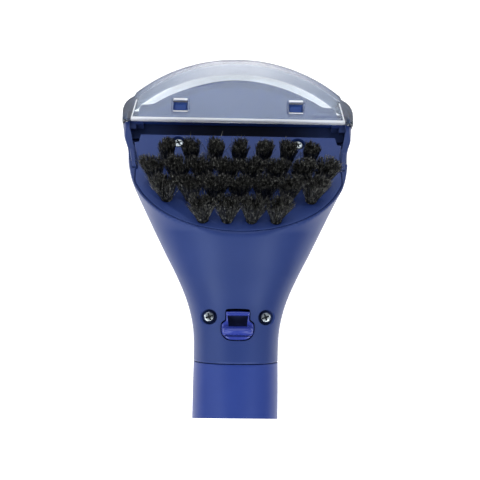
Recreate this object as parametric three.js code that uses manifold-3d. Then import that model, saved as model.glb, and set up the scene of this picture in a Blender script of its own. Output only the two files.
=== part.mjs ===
// Brush and suction head of a spray-extraction cleaning tool, lying on its back with the brush side up.
// Millimetres. +X is to the right, +Y runs from the connector mouth to the nose, +Z is the brush side.
import * as THREE from "three";
import { LoftGeometry } from "three/addons/geometries/LoftGeometry.js";
import { mergeVertices } from "three/addons/utils/BufferGeometryUtils.js";
import Module from "manifold-3d";

const wasm = await Module();
wasm.setup();

// ---- driving dimensions -------------------------------------------------------------------------
const GAP = 0.3; // clearance between neighbouring pieces
const WALL = 2.4; // moulded wall of the two body shells

const NECK_HALF_HEIGHT = 19;
const SEAM_Y = 28.4; // where the shells meet the connector collar
const SHELL_END_Y = 147;
const HALF_WIDTH = [
  [0, 20.8], [30, 20.4], [44, 21], [56, 23.8], [68, 28.8], [82, 36.1], [98, 44.1],
  [114, 51.6], [123, 54], [131, 54.7], [138, 56.9], [150, 57.9],
];
const SPLIT_Y = 70; // the parting line runs level up to here, then dips towards the nose
const SPLIT_SLOPE = 0.33;
const BACK_FACE_Y = 97; // the flat back of the nose starts here
const SECTION_POWER = 2.3;
const SECTION_POINTS = 44;

const BRUSH_TILT = THREE.MathUtils.degToRad(38);
const BRUSH_EDGE = [0, 138.8, -13.2]; // middle of the front edge of the brush face
const PLATE_THICK = 4.5;
const PLATE_HALF = 50;
const PLATE_FRONT_HALF = 48.4;
const PLATE_OVAL = { half: 54.6, reach: 65.2, centre: 5, power: 3 };
const RIM = 1.3; // flat rim of the shell around the brush plate
const DECK = 2.2; // floor under the brush plate

const SLOT = { inner: 46, frontOuter: 54, backOuter: 52, back: -5.2, depth: 11 };
const RAIL = { from: -21.8, to: -10.6, backLow: 49.8, frontLow: 51.4, width: 1.9, proud: 0.9 };

const NOSE_TILT = THREE.MathUtils.degToRad(15);
const LIP = [0, 146.1, -16]; // middle of the suction lip, on top of the clear nozzle
const NOSE_THICK = 15;
const CLEAR_WALL = 2;
const NOSE_RADIUS = 79;
const NOSE_REACH = 33.7;
const SHOULDER_HALF = 57.9;
const MOUTH_HALF = 47.4;
const PANEL_TOP = -3.6;
const PANEL_THICK = 2.4;
const PANEL_SKIRT = { reach: 4.6, thick: 0.8 };
const ARM = { inner: 51, back: -3.4, front: 5.6, thick: 3.2 };
const LUG = { x: 29, y: 8, width: 6.1, length: 3.9, height: 1.15 };

const TUFT = { length: 14.4, root: 2.4, tipX: 5.4, tipT: 4.2, sides: 8, sink: 3 };
const TUFT_PITCH = 11.5;
const TUFT_ROWS = [
  { name: "front", t: -18, count: 7 },
  { name: "second", t: -30, count: 8 },
  { name: "third", t: -40.8, count: 7 },
  { name: "heel", t: -53.4, count: 4 },
];

const BRUSH_SCREW = { x: 29.6, t: -4.6, head: 2.65, bore: 3.6, shank: 1.3 };
const NECK_SCREW = { x: 13.4, y: 50.4, head: 2.65, bore: 3.7, shank: 1.3, seat: 12.6, tip: -8 };

const COLLAR_BORE = { halfWidth: 17, halfHeight: 15.4 };
const MOUTH_SLANT = THREE.MathUtils.degToRad(8.4);
const SPIGOT_END_Y = 38;
const LATCH = { y: 10.6, halfLength: 8.6, halfWidth: 4.2, pinZ: -17.2, pinRadius: 0.9 };

const SPRAY_Y = 45.2; // middle of the spray tip
const LINE_Z = 6; // height of the solution line above the neck axis

// ---- colours --------------------------------------------------------------------------------------
const FINISH = {
  shell: { color: 0x2e3f78, roughness: 0.42, metalness: 0 },
  plate: { color: 0x2b3a70, roughness: 0.48, metalness: 0 },
  collar: { color: 0x2f4484, roughness: 0.4, metalness: 0 },
  clear: { color: 0xd5dae2, roughness: 0.08, metalness: 0 },
  bristle: { color: 0x191717, roughness: 0.6, metalness: 0 },
  steel: { color: 0x8d9aa2, roughness: 0.32, metalness: 1 },
  rubber: { color: 0x17181a, roughness: 0.75, metalness: 0 },
  tube: { color: 0xc9ced2, roughness: 0.3, metalness: 0 },
  white: { color: 0xd9dadb, roughness: 0.45, metalness: 0 },
  tip: { color: 0x3a50a0, roughness: 0.35, metalness: 0 },
};

// ---- solids ---------------------------------------------------------------------------------------
function solid(geometry, matrix) {
  const plain = geometry.clone();
  if (matrix) {
    plain.applyMatrix4(matrix);
  }
  plain.deleteAttribute("normal");
  plain.deleteAttribute("uv");
  const merged = mergeVertices(plain, 1e-4);
  return new wasm.Manifold(
    new wasm.Mesh({
      numProp: 3,
      vertProperties: new Float32Array(merged.attributes.position.array),
      triVerts: new Uint32Array(merged.index.array),
    }),
  );
}

function toGeometry(manifold) {
  const mesh = manifold.getMesh();
  const geometry = new THREE.BufferGeometry();
  geometry.setAttribute("position", new THREE.BufferAttribute(mesh.vertProperties, 3));
  geometry.setIndex(new THREE.BufferAttribute(mesh.triVerts, 1));
  return geometry;
}

function frameAt(origin, tilt) {
  return new THREE.Matrix4().makeRotationX(-tilt).setPosition(...origin);
}
const BRUSH_FRAME = frameAt(BRUSH_EDGE, BRUSH_TILT); // x, forwards along the brush face, outwards
const NOSE_FRAME = frameAt(LIP, NOSE_TILT); // x, forwards along the nose, outwards
const NO_FRAME = new THREE.Matrix4();

function box(low, high, frame = NO_FRAME) {
  const size = high.map((value, i) => value - low[i]);
  const middle = high.map((value, i) => (value + low[i]) / 2);
  const geometry = new THREE.BoxGeometry(...size);
  geometry.translate(...middle);
  return solid(geometry, frame);
}

function slab(points, low, high, frame = NO_FRAME, bevel = 0) {
  const shape = new THREE.Shape(points.map(([x, y]) => new THREE.Vector2(x, y)));
  const geometry = new THREE.ExtrudeGeometry(shape, {
    depth: high - low - 2 * bevel,
    bevelEnabled: bevel > 0,
    bevelThickness: bevel,
    bevelSize: bevel,
    bevelOffset: -bevel,
    bevelSegments: 2,
    steps: 1,
    curveSegments: 8,
  });
  geometry.translate(0, 0, low + bevel);
  return solid(geometry, frame);
}

// A turned solid: profile of [radius, height] from axis to axis, its height along local +Z.
function turned(profile, frame, segments = 20) {
  const points = profile.map(([r, h]) => new THREE.Vector2(r, h));
  const geometry = new THREE.LatheGeometry(points, segments);
  geometry.rotateX(Math.PI / 2);
  return solid(geometry, frame);
}

function rod(radius, low, high, frame, segments = 20) {
  return turned([[0, low], [radius, low], [radius, high], [0, high]], frame, segments);
}

// Local frame whose +Z points along a world direction.
function along(origin, direction) {
  const turn = new THREE.Quaternion().setFromUnitVectors(
    new THREE.Vector3(0, 0, 1),
    new THREE.Vector3(...direction).normalize(),
  );
  return new THREE.Matrix4().makeRotationFromQuaternion(turn).setPosition(...origin);
}

// ---- body sections --------------------------------------------------------------------------------
// Smooth curve through a short table of [y, value] stations.
function along1d(table, y) {
  const last = table.length - 1;
  if (y <= table[0][0]) {
    return table[0][1];
  }
  if (y >= table[last][0]) {
    return table[last][1];
  }
  let i = 0;
  while (table[i + 1][0] < y) {
    i += 1;
  }
  const slope = (k) => {
    if (k === 0 || k === last) {
      return 0;
    }
    return (table[k + 1][1] - table[k - 1][1]) / (table[k + 1][0] - table[k - 1][0]);
  };
  const span = table[i + 1][0] - table[i][0];
  const s = (y - table[i][0]) / span;
  const h00 = 2 * s ** 3 - 3 * s ** 2 + 1;
  const h10 = s ** 3 - 2 * s ** 2 + s;
  const h01 = -2 * s ** 3 + 3 * s ** 2;
  const h11 = s ** 3 - s ** 2;
  return h00 * table[i][1] + h10 * span * slope(i) + h01 * table[i + 1][1] + h11 * span * slope(i + 1);
}

function splitHeight(y) {
  return y <= SPLIT_Y ? 0 : -(y - SPLIT_Y) * SPLIT_SLOPE;
}

function brushFaceHeight(y) {
  return BRUSH_EDGE[2] - (y - BRUSH_EDGE[1]) * Math.tan(BRUSH_TILT);
}

// Half width of the flat brush face of the shell at a station, with its rim.
function faceHalfWidth(y) {
  const t = (BRUSH_EDGE[1] - y) / Math.cos(BRUSH_TILT);
  const reach = (t + PLATE_OVAL.centre) / (PLATE_OVAL.reach + RIM);
  if (reach >= 1) {
    return 0;
  }
  return (PLATE_OVAL.half + RIM) * Math.sqrt(1 - reach ** PLATE_OVAL.power);
}

const FACE_START_Y = BRUSH_EDGE[1] - (PLATE_OVAL.reach + RIM - PLATE_OVAL.centre) * Math.cos(BRUSH_TILT);

function topHeight(y) {
  const middle = splitHeight(y);
  if (y <= FACE_START_Y) {
    const crest = brushFaceHeight(FACE_START_Y);
    const ridge = [
      [48, NECK_HALF_HEIGHT], [70, 21.3], [FACE_START_Y, crest], [FACE_START_Y + 9, crest + 1],
    ];
    return along1d(ridge, y) - middle;
  }
  const share = Math.min(faceHalfWidth(y) / along1d(HALF_WIDTH, y), 0.985);
  const height = (brushFaceHeight(y) - middle) / (1 - share ** SECTION_POWER) ** (1 / SECTION_POWER);
  return Math.max(height, 20);
}

function bottomHeight(y) {
  const ridge = [
    [60, NECK_HALF_HEIGHT], [80, 15.9], [BACK_FACE_Y, 9.8], [120, 16], [140, 21], [150, 22],
  ];
  return along1d(ridge, y);
}

function bodySection(y, inset) {
  const halfWidth = along1d(HALF_WIDTH, y) - inset;
  const top = topHeight(y) - inset;
  const bottom = bottomHeight(y) - inset;
  const power = 2 / SECTION_POWER;
  const points = [];
  for (let i = 0; i < SECTION_POINTS; i += 1) {
    const angle = (2 * Math.PI * i) / SECTION_POINTS;
    const c = Math.cos(angle);
    const s = Math.sin(angle);
    const x = -Math.sign(c) * halfWidth * Math.abs(c) ** power;
    const z = Math.sign(s) * (s > 0 ? top : bottom) * Math.abs(s) ** power;
    points.push(new THREE.Vector3(x, y, splitHeight(y) + z));
  }
  return points;
}

function bodyLoft(stations, inset) {
  const sections = stations.map((y) => bodySection(y, inset));
  return solid(new LoftGeometry(sections, { closed: true, capStart: true, capEnd: true }));
}

function stations(from, to, step) {
  const count = Math.max(1, Math.round((to - from) / step));
  return Array.from({ length: count + 1 }, (_, i) => from + ((to - from) * i) / count);
}

const BIG = 260;
const belowBrushFace = (depth) => box([-BIG, -BIG, -BIG], [BIG, BIG, -depth], BRUSH_FRAME);
const behindBackFace = box([-BIG, -BIG, -BIG], [BIG, BACK_FACE_Y, BIG]);
const aboveBackFace = (height) =>
  box([-BIG, -BIG, -NOSE_THICK + height], [BIG, BIG, BIG], NOSE_FRAME).add(behindBackFace);
const belowNoseTop = (depth) => box([-BIG, -BIG, -BIG], [BIG, BIG, -depth], NOSE_FRAME);

const bodyOuter = bodyLoft(stations(SEAM_Y, SHELL_END_Y + 1, 5), 0)
  .intersect(belowBrushFace(0))
  .intersect(aboveBackFace(0));
const bodyInner = bodyLoft(stations(SEAM_Y - 3, SHELL_END_Y + 4, 7), WALL)
  .intersect(belowBrushFace(PLATE_THICK + GAP + DECK))
  .intersect(aboveBackFace(WALL - 0.2));

function splitCutter(side) {
  const shift = side * (GAP / 2);
  const far = side * 90;
  const line = [
    [SEAM_Y - 10, shift],
    [SPLIT_Y, shift],
    [SHELL_END_Y + 20, splitHeight(SHELL_END_Y + 20) + shift],
  ];
  const points = [...line, [SHELL_END_Y + 20, far], [SEAM_Y - 10, far]];
  const ordered = side > 0 ? points : points.reverse();
  const geometry = new THREE.ExtrudeGeometry(
    new THREE.Shape(ordered.map(([y, z]) => new THREE.Vector2(y, z))),
    { depth: 2 * BIG, bevelEnabled: false },
  );
  geometry.translate(0, 0, -BIG);
  // Sketch x, y and depth become world y, z and x.
  const turn = new THREE.Matrix4().makeBasis(
    new THREE.Vector3(0, 1, 0),
    new THREE.Vector3(0, 0, 1),
    new THREE.Vector3(1, 0, 0),
  );
  return solid(geometry, turn);
}

// ---- brush plate ----------------------------------------------------------------------------------
function plateOutline(grow) {
  const right = [
    [PLATE_FRONT_HALF + grow, grow > 0 ? 3 : 0], [PLATE_FRONT_HALF + 0.8 + grow, -4.9 + grow],
    [RAIL.frontLow - 0.2 + grow, -5.3 + grow], [RAIL.frontLow - 1.2 + grow, RAIL.to],
    [RAIL.backLow - 0.9 + grow, RAIL.from - 0.5 + grow], [PLATE_HALF + grow, RAIL.from - 1.4 + grow],
  ];
  const steps = 14;
  const startAngle = Math.acos(PLATE_HALF / PLATE_OVAL.half);
  for (let i = 0; i <= steps; i += 1) {
    const angle = startAngle + ((Math.PI / 2 - startAngle) * i) / steps;
    const x = (PLATE_OVAL.half + grow) * Math.cos(angle);
    const t = PLATE_OVAL.centre - (PLATE_OVAL.reach + grow) * Math.sin(angle) ** (2 / PLATE_OVAL.power);
    right.push([i === steps ? 0 : x, t]);
  }
  const left = right.filter(([x]) => x > 0).map(([x, t]) => [-x, t]).reverse();
  return [...right, ...left].reverse();
}

const tuftSpots = TUFT_ROWS.flatMap((row) =>
  Array.from({ length: row.count }, (_, i) => ({
    name: `tuft_${row.name}_${i + 1}`,
    x: (i - (row.count - 1) / 2) * TUFT_PITCH,
    t: row.t,
  })),
);

function makeBrushPlate() {
  let plate = slab(plateOutline(0), -PLATE_THICK, 0, BRUSH_FRAME);
  for (const spot of tuftSpots) {
    const frame = BRUSH_FRAME.clone().multiply(new THREE.Matrix4().makeTranslation(spot.x, spot.t, 0));
    plate = plate.subtract(rod(TUFT.root + GAP, -TUFT.sink - GAP, 5, frame, 12));
  }
  for (const side of [-1, 1]) {
    const frame = BRUSH_FRAME.clone().multiply(
      new THREE.Matrix4().makeTranslation(side * BRUSH_SCREW.x, BRUSH_SCREW.t, 0),
    );
    plate = plate.subtract(rod(BRUSH_SCREW.bore, -2.6, 5, frame));
    plate = plate.subtract(rod(BRUSH_SCREW.shank + GAP, -9, 5, frame, 12));
  }
  return plate;
}

function makeTuft(spot) {
  const lean = spot.x / 42;
  const rings = [
    { n: -TUFT.sink, x: TUFT.root, t: TUFT.root },
    { n: 0.5, x: TUFT.root, t: TUFT.root },
    { n: TUFT.length * 0.5, x: 3.9, t: 3.3 },
    { n: TUFT.length, x: TUFT.tipX, t: TUFT.tipT },
  ];
  const sections = rings.map((ring) => {
    const shift = ring.n > 1 ? (lean * 2.2 * ring.n) / TUFT.length : 0;
    return Array.from({ length: TUFT.sides }, (_, i) => {
      const angle = (2 * Math.PI * i) / TUFT.sides;
      return new THREE.Vector3(
        spot.x + shift + ring.x * Math.cos(angle),
        spot.t + ring.t * Math.sin(angle),
        ring.n,
      );
    });
  });
  return solid(new LoftGeometry(sections, { closed: true, capStart: true, capEnd: true }), BRUSH_FRAME);
}

// A pan-head screw with a cross recess, its head seat at the local origin and the shank below.
function makeScrew(size, length, frame) {
  const screw = turned(
    [[0, -length], [size.shank * 0.4, -length], [size.shank, -length + 2], [size.shank, 0.05],
      [size.head, 0.05], [size.head, 0.9], [size.head * 0.72, 1.6], [0, 1.8]],
    frame,
  );
  const slotLong = box([-1.7, -0.3, 0.8], [1.7, 0.3, 3], frame);
  const slotCross = box([-0.3, -1.7, 0.8], [0.3, 1.7, 3], frame);
  return screw.subtract(slotLong).subtract(slotCross);
}

// ---- clear nozzle ---------------------------------------------------------------------------------
// Plan outline of the nose, from the lip line forwards, drawn in by `inset`.
function noseOutline(inset, back) {
  const half = SHOULDER_HALF - inset;
  const right = [[half, back], [half, 6], [half - 1.2, 9], [half - 3.2, 11.2], [52.2 - inset, 12.4]];
  const radius = NOSE_RADIUS - inset;
  const centre = NOSE_REACH - NOSE_RADIUS;
  const startAngle = Math.asin((51.4 - inset) / radius);
  const steps = 12;
  for (let i = 0; i <= steps; i += 1) {
    const angle = startAngle * (1 - i / steps);
    right.push([i === steps ? 0 : radius * Math.sin(angle), centre + radius * Math.cos(angle)]);
  }
  const left = right.filter(([x]) => x > 0).map(([x, y]) => [-x, y]).reverse();
  return [...right, ...left];
}

function makeClearNozzle() {
  const outer = slab(noseOutline(0, 0), -NOSE_THICK, 0, NOSE_FRAME, 0.9);
  const inner = slab(noseOutline(CLEAR_WALL, -3), -NOSE_THICK + CLEAR_WALL, -CLEAR_WALL, NOSE_FRAME);
  let nozzle = outer.subtract(inner);
  nozzle = nozzle.add(box([-53.6, 0, -CLEAR_WALL], [53.6, 1.9, 1.1], NOSE_FRAME));
  for (const side of [-1, 1]) {
    const x = side * LUG.x;
    nozzle = nozzle.subtract(
      box([x - LUG.width / 2 - 0.5, LUG.y - LUG.length / 2 - 0.5, -4],
        [x + LUG.width / 2 + 0.5, LUG.y + LUG.length / 2 + 0.5, 4], NOSE_FRAME),
    );
  }
  return nozzle;
}

// Flat strip in a groove of the lower shell's tongue; it closes the joint to the nozzle's floor.
const TONGUE = { half: 54, from: -6, to: 5, low: -12.6, high: -10.8 };
const STRIP = { half: 53, from: 1.4, to: 3.8, low: -12.7, high: -11.9 };

function makeNozzleSeal() {
  return box([-STRIP.half, STRIP.from, STRIP.low], [STRIP.half, STRIP.to, STRIP.high], NOSE_FRAME);
}

// ---- shells ---------------------------------------------------------------------------------------
function panelOutline(grow) {
  const right = [
    [MOUTH_HALF + 2, 0.4], [50.2, 0.4], [50.2, 5.5], [48.6, 6 + grow], [43.5, 6.2 + grow], [41.5, 7 + grow],
    [37.4, 9.8 + grow], [28.6, 13.9 + grow], [19.4, 17.2 + grow], [10, 19.4 + grow],
  ];
  const left = right.map(([x, y]) => [-x, y]).reverse();
  return [...right, [0, 20.2 + grow], ...left];
}

/** Mirrors an outline across the middle when side is -1, keeping its direction. */
function sided(outline, side) {
  return side > 0 ? outline : outline.map(([x, y]) => [-x, y]).reverse();
}

function boss(x, y, low, high, radius) {
  return rod(radius, low, high, along([x, y, 0], [0, 0, 1]), 16);
}

function makeUpperShell() {
  const pocketDepth = PLATE_THICK + GAP;
  let shell = bodyOuter.subtract(bodyInner);
  shell = shell.subtract(slab(plateOutline(GAP), -pocketDepth, 10, BRUSH_FRAME));
  shell = shell.intersect(splitCutter(1));
  // Slots beside the front corners of the plate.
  const slot = [
    [SLOT.inner, 9], [SLOT.inner, SLOT.back], [SLOT.backOuter, SLOT.back], [SLOT.frontOuter, 4.5],
    [SLOT.frontOuter, 9],
  ];
  for (const side of [-1, 1]) {
    shell = shell.subtract(slab(sided(slot, side), -SLOT.depth, 20, BRUSH_FRAME));
  }
  // Suction mouth in front of the deck.
  shell = shell.subtract(box([-MOUTH_HALF, 0.02, -60], [MOUTH_HALF, 60, 20], BRUSH_FRAME));
  // Everything of the body that would stand in the clear nozzle is cut back.
  shell = shell.subtract(box([-BIG, -GAP, -60], [BIG, 60, 60], NOSE_FRAME));
  const armLow = PANEL_TOP - ARM.thick;
  const armOuter = SHOULDER_HALF - CLEAR_WALL - 0.6;
  for (const side of [-1, 1]) {
    const rearEnds = [side * ARM.inner, side * armOuter].sort((a, b) => a - b);
    const rear = box([rearEnds[0], ARM.back, armLow], [rearEnds[1], -GAP, PANEL_TOP], NOSE_FRAME);
    const frontEnds = [side * MOUTH_HALF, side * armOuter].sort((a, b) => a - b);
    const front = box([frontEnds[0], -GAP - 0.5, armLow], [frontEnds[1], ARM.front, PANEL_TOP], NOSE_FRAME);
    shell = shell.add(rear.intersect(splitCutter(1))).add(front);
  }
  const panelLow = PANEL_TOP - PANEL_THICK;
  shell = shell.add(slab(panelOutline(0), panelLow, PANEL_TOP, NOSE_FRAME));
  const skirtTop = panelLow + PANEL_SKIRT.thick;
  shell = shell.add(slab(panelOutline(PANEL_SKIRT.reach), panelLow, skirtTop, NOSE_FRAME));
  for (const side of [-1, 1]) {
    const x = side * LUG.x;
    shell = shell.add(
      box([x - LUG.width / 2, LUG.y - LUG.length / 2, PANEL_TOP - 0.5],
        [x + LUG.width / 2, LUG.y + LUG.length / 2, PANEL_TOP + LUG.height], NOSE_FRAME),
    );
  }
  // Guide rails beside the plate.
  const rail = [
    [RAIL.backLow, RAIL.from], [RAIL.backLow + RAIL.width, RAIL.from],
    [RAIL.frontLow + RAIL.width, RAIL.to], [RAIL.frontLow, RAIL.to],
  ];
  for (const side of [-1, 1]) {
    shell = shell.add(slab(sided(rail, side), -1, RAIL.proud, BRUSH_FRAME));
  }
  // Screw towers.
  for (const side of [-1, 1]) {
    const brush = BRUSH_FRAME.clone().multiply(
      new THREE.Matrix4().makeTranslation(side * BRUSH_SCREW.x, BRUSH_SCREW.t, 0),
    );
    shell = shell.add(rod(3.4, -11.5, -pocketDepth - 0.5, brush, 16));
    shell = shell.subtract(rod(BRUSH_SCREW.shank + GAP, -10.5, 5, brush, 12));
    const x = side * NECK_SCREW.x;
    shell = shell.add(boss(x, NECK_SCREW.y, GAP / 2, 14, 4.4));
    shell = shell.subtract(boss(x, NECK_SCREW.y, NECK_SCREW.seat, 40, NECK_SCREW.bore));
    shell = shell.subtract(boss(x, NECK_SCREW.y, -5, 40, NECK_SCREW.shank + GAP));
  }
  return shell.subtract(slab(tipOpening(GAP), 9.5, 40));
}

function makeLowerShell() {
  let shell = bodyOuter.subtract(bodyInner).intersect(splitCutter(-1));
  shell = shell.subtract(box([-BIG, -2 * GAP, -60], [BIG, 60, 60], NOSE_FRAME));
  // Tongue that reaches into the clear nozzle, with the groove for the seal strip.
  const { half, from, to, low, high } = TONGUE;
  const root = box([-half, from, low - 0.6], [half, -2 * GAP, high], NOSE_FRAME);
  const tongue = box([-half, -2 * GAP - 1, low], [half, to, high], NOSE_FRAME);
  const groove = box(
    [-STRIP.half - GAP, STRIP.from - GAP, TONGUE.low - 1],
    [STRIP.half + GAP, STRIP.to + GAP, STRIP.high + GAP],
    NOSE_FRAME,
  );
  shell = shell.add(root.intersect(splitCutter(-1))).add(tongue).subtract(groove);
  for (const side of [-1, 1]) {
    const x = side * NECK_SCREW.x;
    shell = shell.add(boss(x, NECK_SCREW.y, -15, -GAP / 2, 4.4).intersect(bodyOuter));
    shell = shell.subtract(boss(x, NECK_SCREW.y, NECK_SCREW.tip - 1, 5, NECK_SCREW.shank + GAP));
  }
  return shell;
}

// ---- spray tip and its feed ------------------------------------------------------------------------
const RING_Z = 10; // o-ring groove on the stem of the tip
const TIP = {
  width: 15.2, front: 48.4, back: 39.8, floor: 12.8, crown: 23.6,
  tongueWidth: 11, tongueEnd: 53.4, stem: 2.4,
};

function tipOpening(grow) {
  const wide = TIP.width / 2 + grow;
  const slim = TIP.tongueWidth / 2 + grow;
  const top = TIP.tongueEnd + (grow > 0 ? 1.2 : 0);
  const right = [
    [TIP.width * 0.26, TIP.back - grow], [wide - 1.7, TIP.back + 1.2 - grow], [wide, TIP.back + 3],
    [wide, TIP.front - 1.8 + grow], [slim, TIP.front + 0.6 + grow], [slim, top - 1], [slim - 1, top],
  ];
  const left = right.map(([x, y]) => [-x, y]).reverse();
  return [...right, ...left];
}

function makeSprayTip() {
  // Flange with the outline of the opening, a rounded hood on it, and the bar of the tongue.
  let tip = slab(tipOpening(0), TIP.floor, 18.2);
  const hood = [
    [41.4, 17], [TIP.front - 0.4, 17], [TIP.front - 0.4, 21.2], [47.2, 22.8], [45.6, TIP.crown],
    [43.8, 23.2], [42.4, 21.8], [41.4, 19.6],
  ];
  const geometry = new THREE.ExtrudeGeometry(
    new THREE.Shape(hood.map(([y, z]) => new THREE.Vector2(y, z))),
    { depth: TIP.width, bevelEnabled: false },
  );
  geometry.translate(0, 0, -TIP.width / 2);
  const turn = new THREE.Matrix4().makeBasis(
    new THREE.Vector3(0, 1, 0),
    new THREE.Vector3(0, 0, 1),
    new THREE.Vector3(1, 0, 0),
  );
  const round = rod(TIP.width / 2 + 0.5, 35, 55, along([0, 0, 15.6], [0, 1, 0]), 36);
  tip = tip.add(solid(geometry, turn).intersect(round).intersect(slab(tipOpening(0), 10, 30)));
  const half = TIP.tongueWidth / 2;
  tip = tip.add(box([-half, 51.6, 16], [half, TIP.tongueEnd - 0.9, 19]));
  // Flared fan jet opening that faces the brush.
  const pit = [[-4.6, 51.4], [-3.4, 46.4], [3.4, 46.4], [4.6, 51.4]];
  tip = tip.subtract(slab(pit, 15.6, 40));
  const up = along([0, SPRAY_Y, 0], [0, 0, 1]);
  tip = tip.add(rod(TIP.stem, 7.6, TIP.floor + 0.5, up, 16));
  tip = tip.subtract(rod(4, RING_Z - 0.8, RING_Z + 0.8, up, 16));
  tip = tip.add(rod(1.6, RING_Z - 1.2, RING_Z + 1.2, up, 16));
  tip = tip.subtract(rod(0.8, 2, 18.6, up, 10));
  return tip;
}

function makeSprayORing() {
  const ring = new THREE.TorusGeometry(2.26, 0.32, 8, 20);
  return solid(ring, along([0, SPRAY_Y, RING_Z], [0, 0, 1]));
}

function makeSpraySocket() {
  const up = along([0, SPRAY_Y, 0], [0, 0, 1]);
  const back = along([0, SPRAY_Y, LINE_Z], [0, 1, 0]);
  let socket = rod(4.3, 2.6, 12.2, up, 20);
  socket = socket.add(rod(2.2, -11.4, -3, back, 18));
  socket = socket.subtract(rod(TIP.stem + 0.5, 4.4, 20, up, 20));
  socket = socket.subtract(rod(1.1, -20, 0, back, 10));
  return socket;
}

function makeSolutionTube() {
  const frame = along([0, 0, LINE_Z], [0, 1, 0]);
  return rod(3.4, 26, 40, frame, 18).subtract(rod(2.5, 20, 50, frame, 18));
}

// Stem of the solution line: it carries the shut-off valve at its mouth end.
const INLET = { start: 4.5, outer: 3.7, bore: 2.5, z: LINE_Z };
function makeInletStem() {
  const frame = along([0, 0, INLET.z], [0, 1, 0]);
  const outside = turned(
    [[0, INLET.start], [3, INLET.start], [3.2, INLET.start + 1], [3.2, 10], [INLET.outer, 11],
      [INLET.outer, 24], [2.2, 25.4], [2.2, 31.5], [0, 31.5]],
    frame,
  );
  const inside = turned(
    [[0, 0], [1.2, 0], [1.2, 7], [INLET.bore, 8.4], [INLET.bore, 21], [1.1, 22], [1.1, 40], [0, 40]],
    frame,
  );
  return outside.subtract(inside);
}

function makePoppet() {
  const frame = along([0, 0, INLET.z], [0, 1, 0]);
  return turned(
    [[0, 5], [0.8, 5], [0.8, 8.6], [2, 10.2], [2, 12.6], [1, 13.2], [1, 15], [0, 15]],
    frame,
    16,
  );
}

// Open coil: a thin wire swept along a helix.
function makeCoil(radius, wire, from, to, turns, frame) {
  const steps = turns * 10;
  const points = Array.from({ length: steps + 1 }, (_, i) => {
    const angle = (2 * Math.PI * turns * i) / steps;
    const height = from + ((to - from) * i) / steps;
    return new THREE.Vector3(radius * Math.cos(angle), radius * Math.sin(angle), height);
  });
  const outline = Array.from({ length: 6 }, (_, i) => {
    const angle = (2 * Math.PI * i) / 6;
    return new THREE.Vector2(wire * Math.cos(angle), wire * Math.sin(angle));
  });
  const geometry = new THREE.ExtrudeGeometry(new THREE.Shape(outline), {
    steps,
    bevelEnabled: false,
    extrudePath: new THREE.CatmullRomCurve3(points),
  });
  return solid(geometry, frame);
}

// ---- connector collar and latch --------------------------------------------------------------------
function ovalLoft(rows, segments = 40) {
  const sections = rows.map(([y, halfWidth, halfHeight]) =>
    Array.from({ length: segments }, (_, i) => {
      const angle = (2 * Math.PI * i) / segments;
      const c = Math.cos(angle);
      const s = Math.sin(angle);
      const power = 2 / SECTION_POWER;
      return new THREE.Vector3(
        -Math.sign(c) * halfWidth * Math.abs(c) ** power,
        y,
        Math.sign(s) * halfHeight * Math.abs(s) ** power,
      );
    }),
  );
  return solid(new LoftGeometry(sections, { closed: true, capStart: true, capEnd: true }));
}

function latchSlot(grow) {
  return box(
    [-LATCH.halfWidth - grow, LATCH.y - LATCH.halfLength - grow, -40],
    [LATCH.halfWidth + grow, LATCH.y + LATCH.halfLength + grow, -12],
  );
}

const latchPinFrame = along([0, LATCH.y, LATCH.pinZ], [1, 0, 0]);

function makeCollar() {
  const skin = ovalLoft([[-6, 20.9, 19.1], [14, 20.7, 19.05], [SEAM_Y - GAP, 20.4, 19]]);
  const spigot = ovalLoft([[SEAM_Y - 4, 17.7, 16.3], [SPIGOT_END_Y, 17.7, 16.3]]);
  let collar = skin.add(spigot);
  const { halfWidth, halfHeight } = COLLAR_BORE;
  collar = collar.subtract(ovalLoft([[-10, halfWidth, halfHeight], [24, halfWidth, halfHeight]]));
  collar = collar.subtract(ovalLoft([[20, 15.3, 13.9], [SPIGOT_END_Y + 5, 15.3, 13.9]]));
  // Bracket that carries the stem of the solution line.
  const frame = along([0, 0, INLET.z], [0, 1, 0]);
  const bracket = rod(INLET.outer + GAP + 1.6, 13.5, 19.5, frame, 20).add(
    box([-3.4, 13.5, INLET.z + 3], [3.4, 19.5, 16.4]),
  );
  collar = collar.add(bracket);
  collar = collar.subtract(rod(INLET.outer + GAP, 10, 40, frame, 20));
  // Slanted mouth.
  const cut = box([-BIG, -BIG, -BIG], [BIG, 0, BIG], new THREE.Matrix4().makeRotationX(-MOUTH_SLANT));
  collar = collar.subtract(cut);
  collar = collar.subtract(latchSlot(GAP));
  return collar.subtract(rod(LATCH.pinRadius + GAP, -7.2, 7.2, latchPinFrame, 12));
}

function makeLatchLever() {
  const skin = ovalLoft([[-6, 20.9, 19.1], [14, 20.7, 19.05], [SEAM_Y - GAP, 20.4, 19]])
    .subtract(ovalLoft([[-10, 17, 15.6], [40, 17, 15.6]]));
  let lever = skin.intersect(latchSlot(0));
  lever = lever.add(box([-3, LATCH.y + 5.4, -16.4], [3, LATCH.y + LATCH.halfLength - 0.6, -13.2]));
  lever = lever.subtract(rod(LATCH.pinRadius + GAP, -9, 9, latchPinFrame, 12));
  return lever.subtract(box([-1.9, LATCH.y - 2.4, -25], [1.9, LATCH.y + 2.4, -10]));
}

function makeCollarSeal() {
  const outer = ovalLoft([[20.2, 16.7, 15.1], [23.4, 16.7, 15.1]]);
  return outer.subtract(ovalLoft([[15, 15, 13.4], [30, 15, 13.4]]));
}

// ---- assembly -------------------------------------------------------------------------------------
const pieces = [];
function piece(name, manifold, finish) {
  pieces.push([name, manifold, finish]);
}

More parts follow.
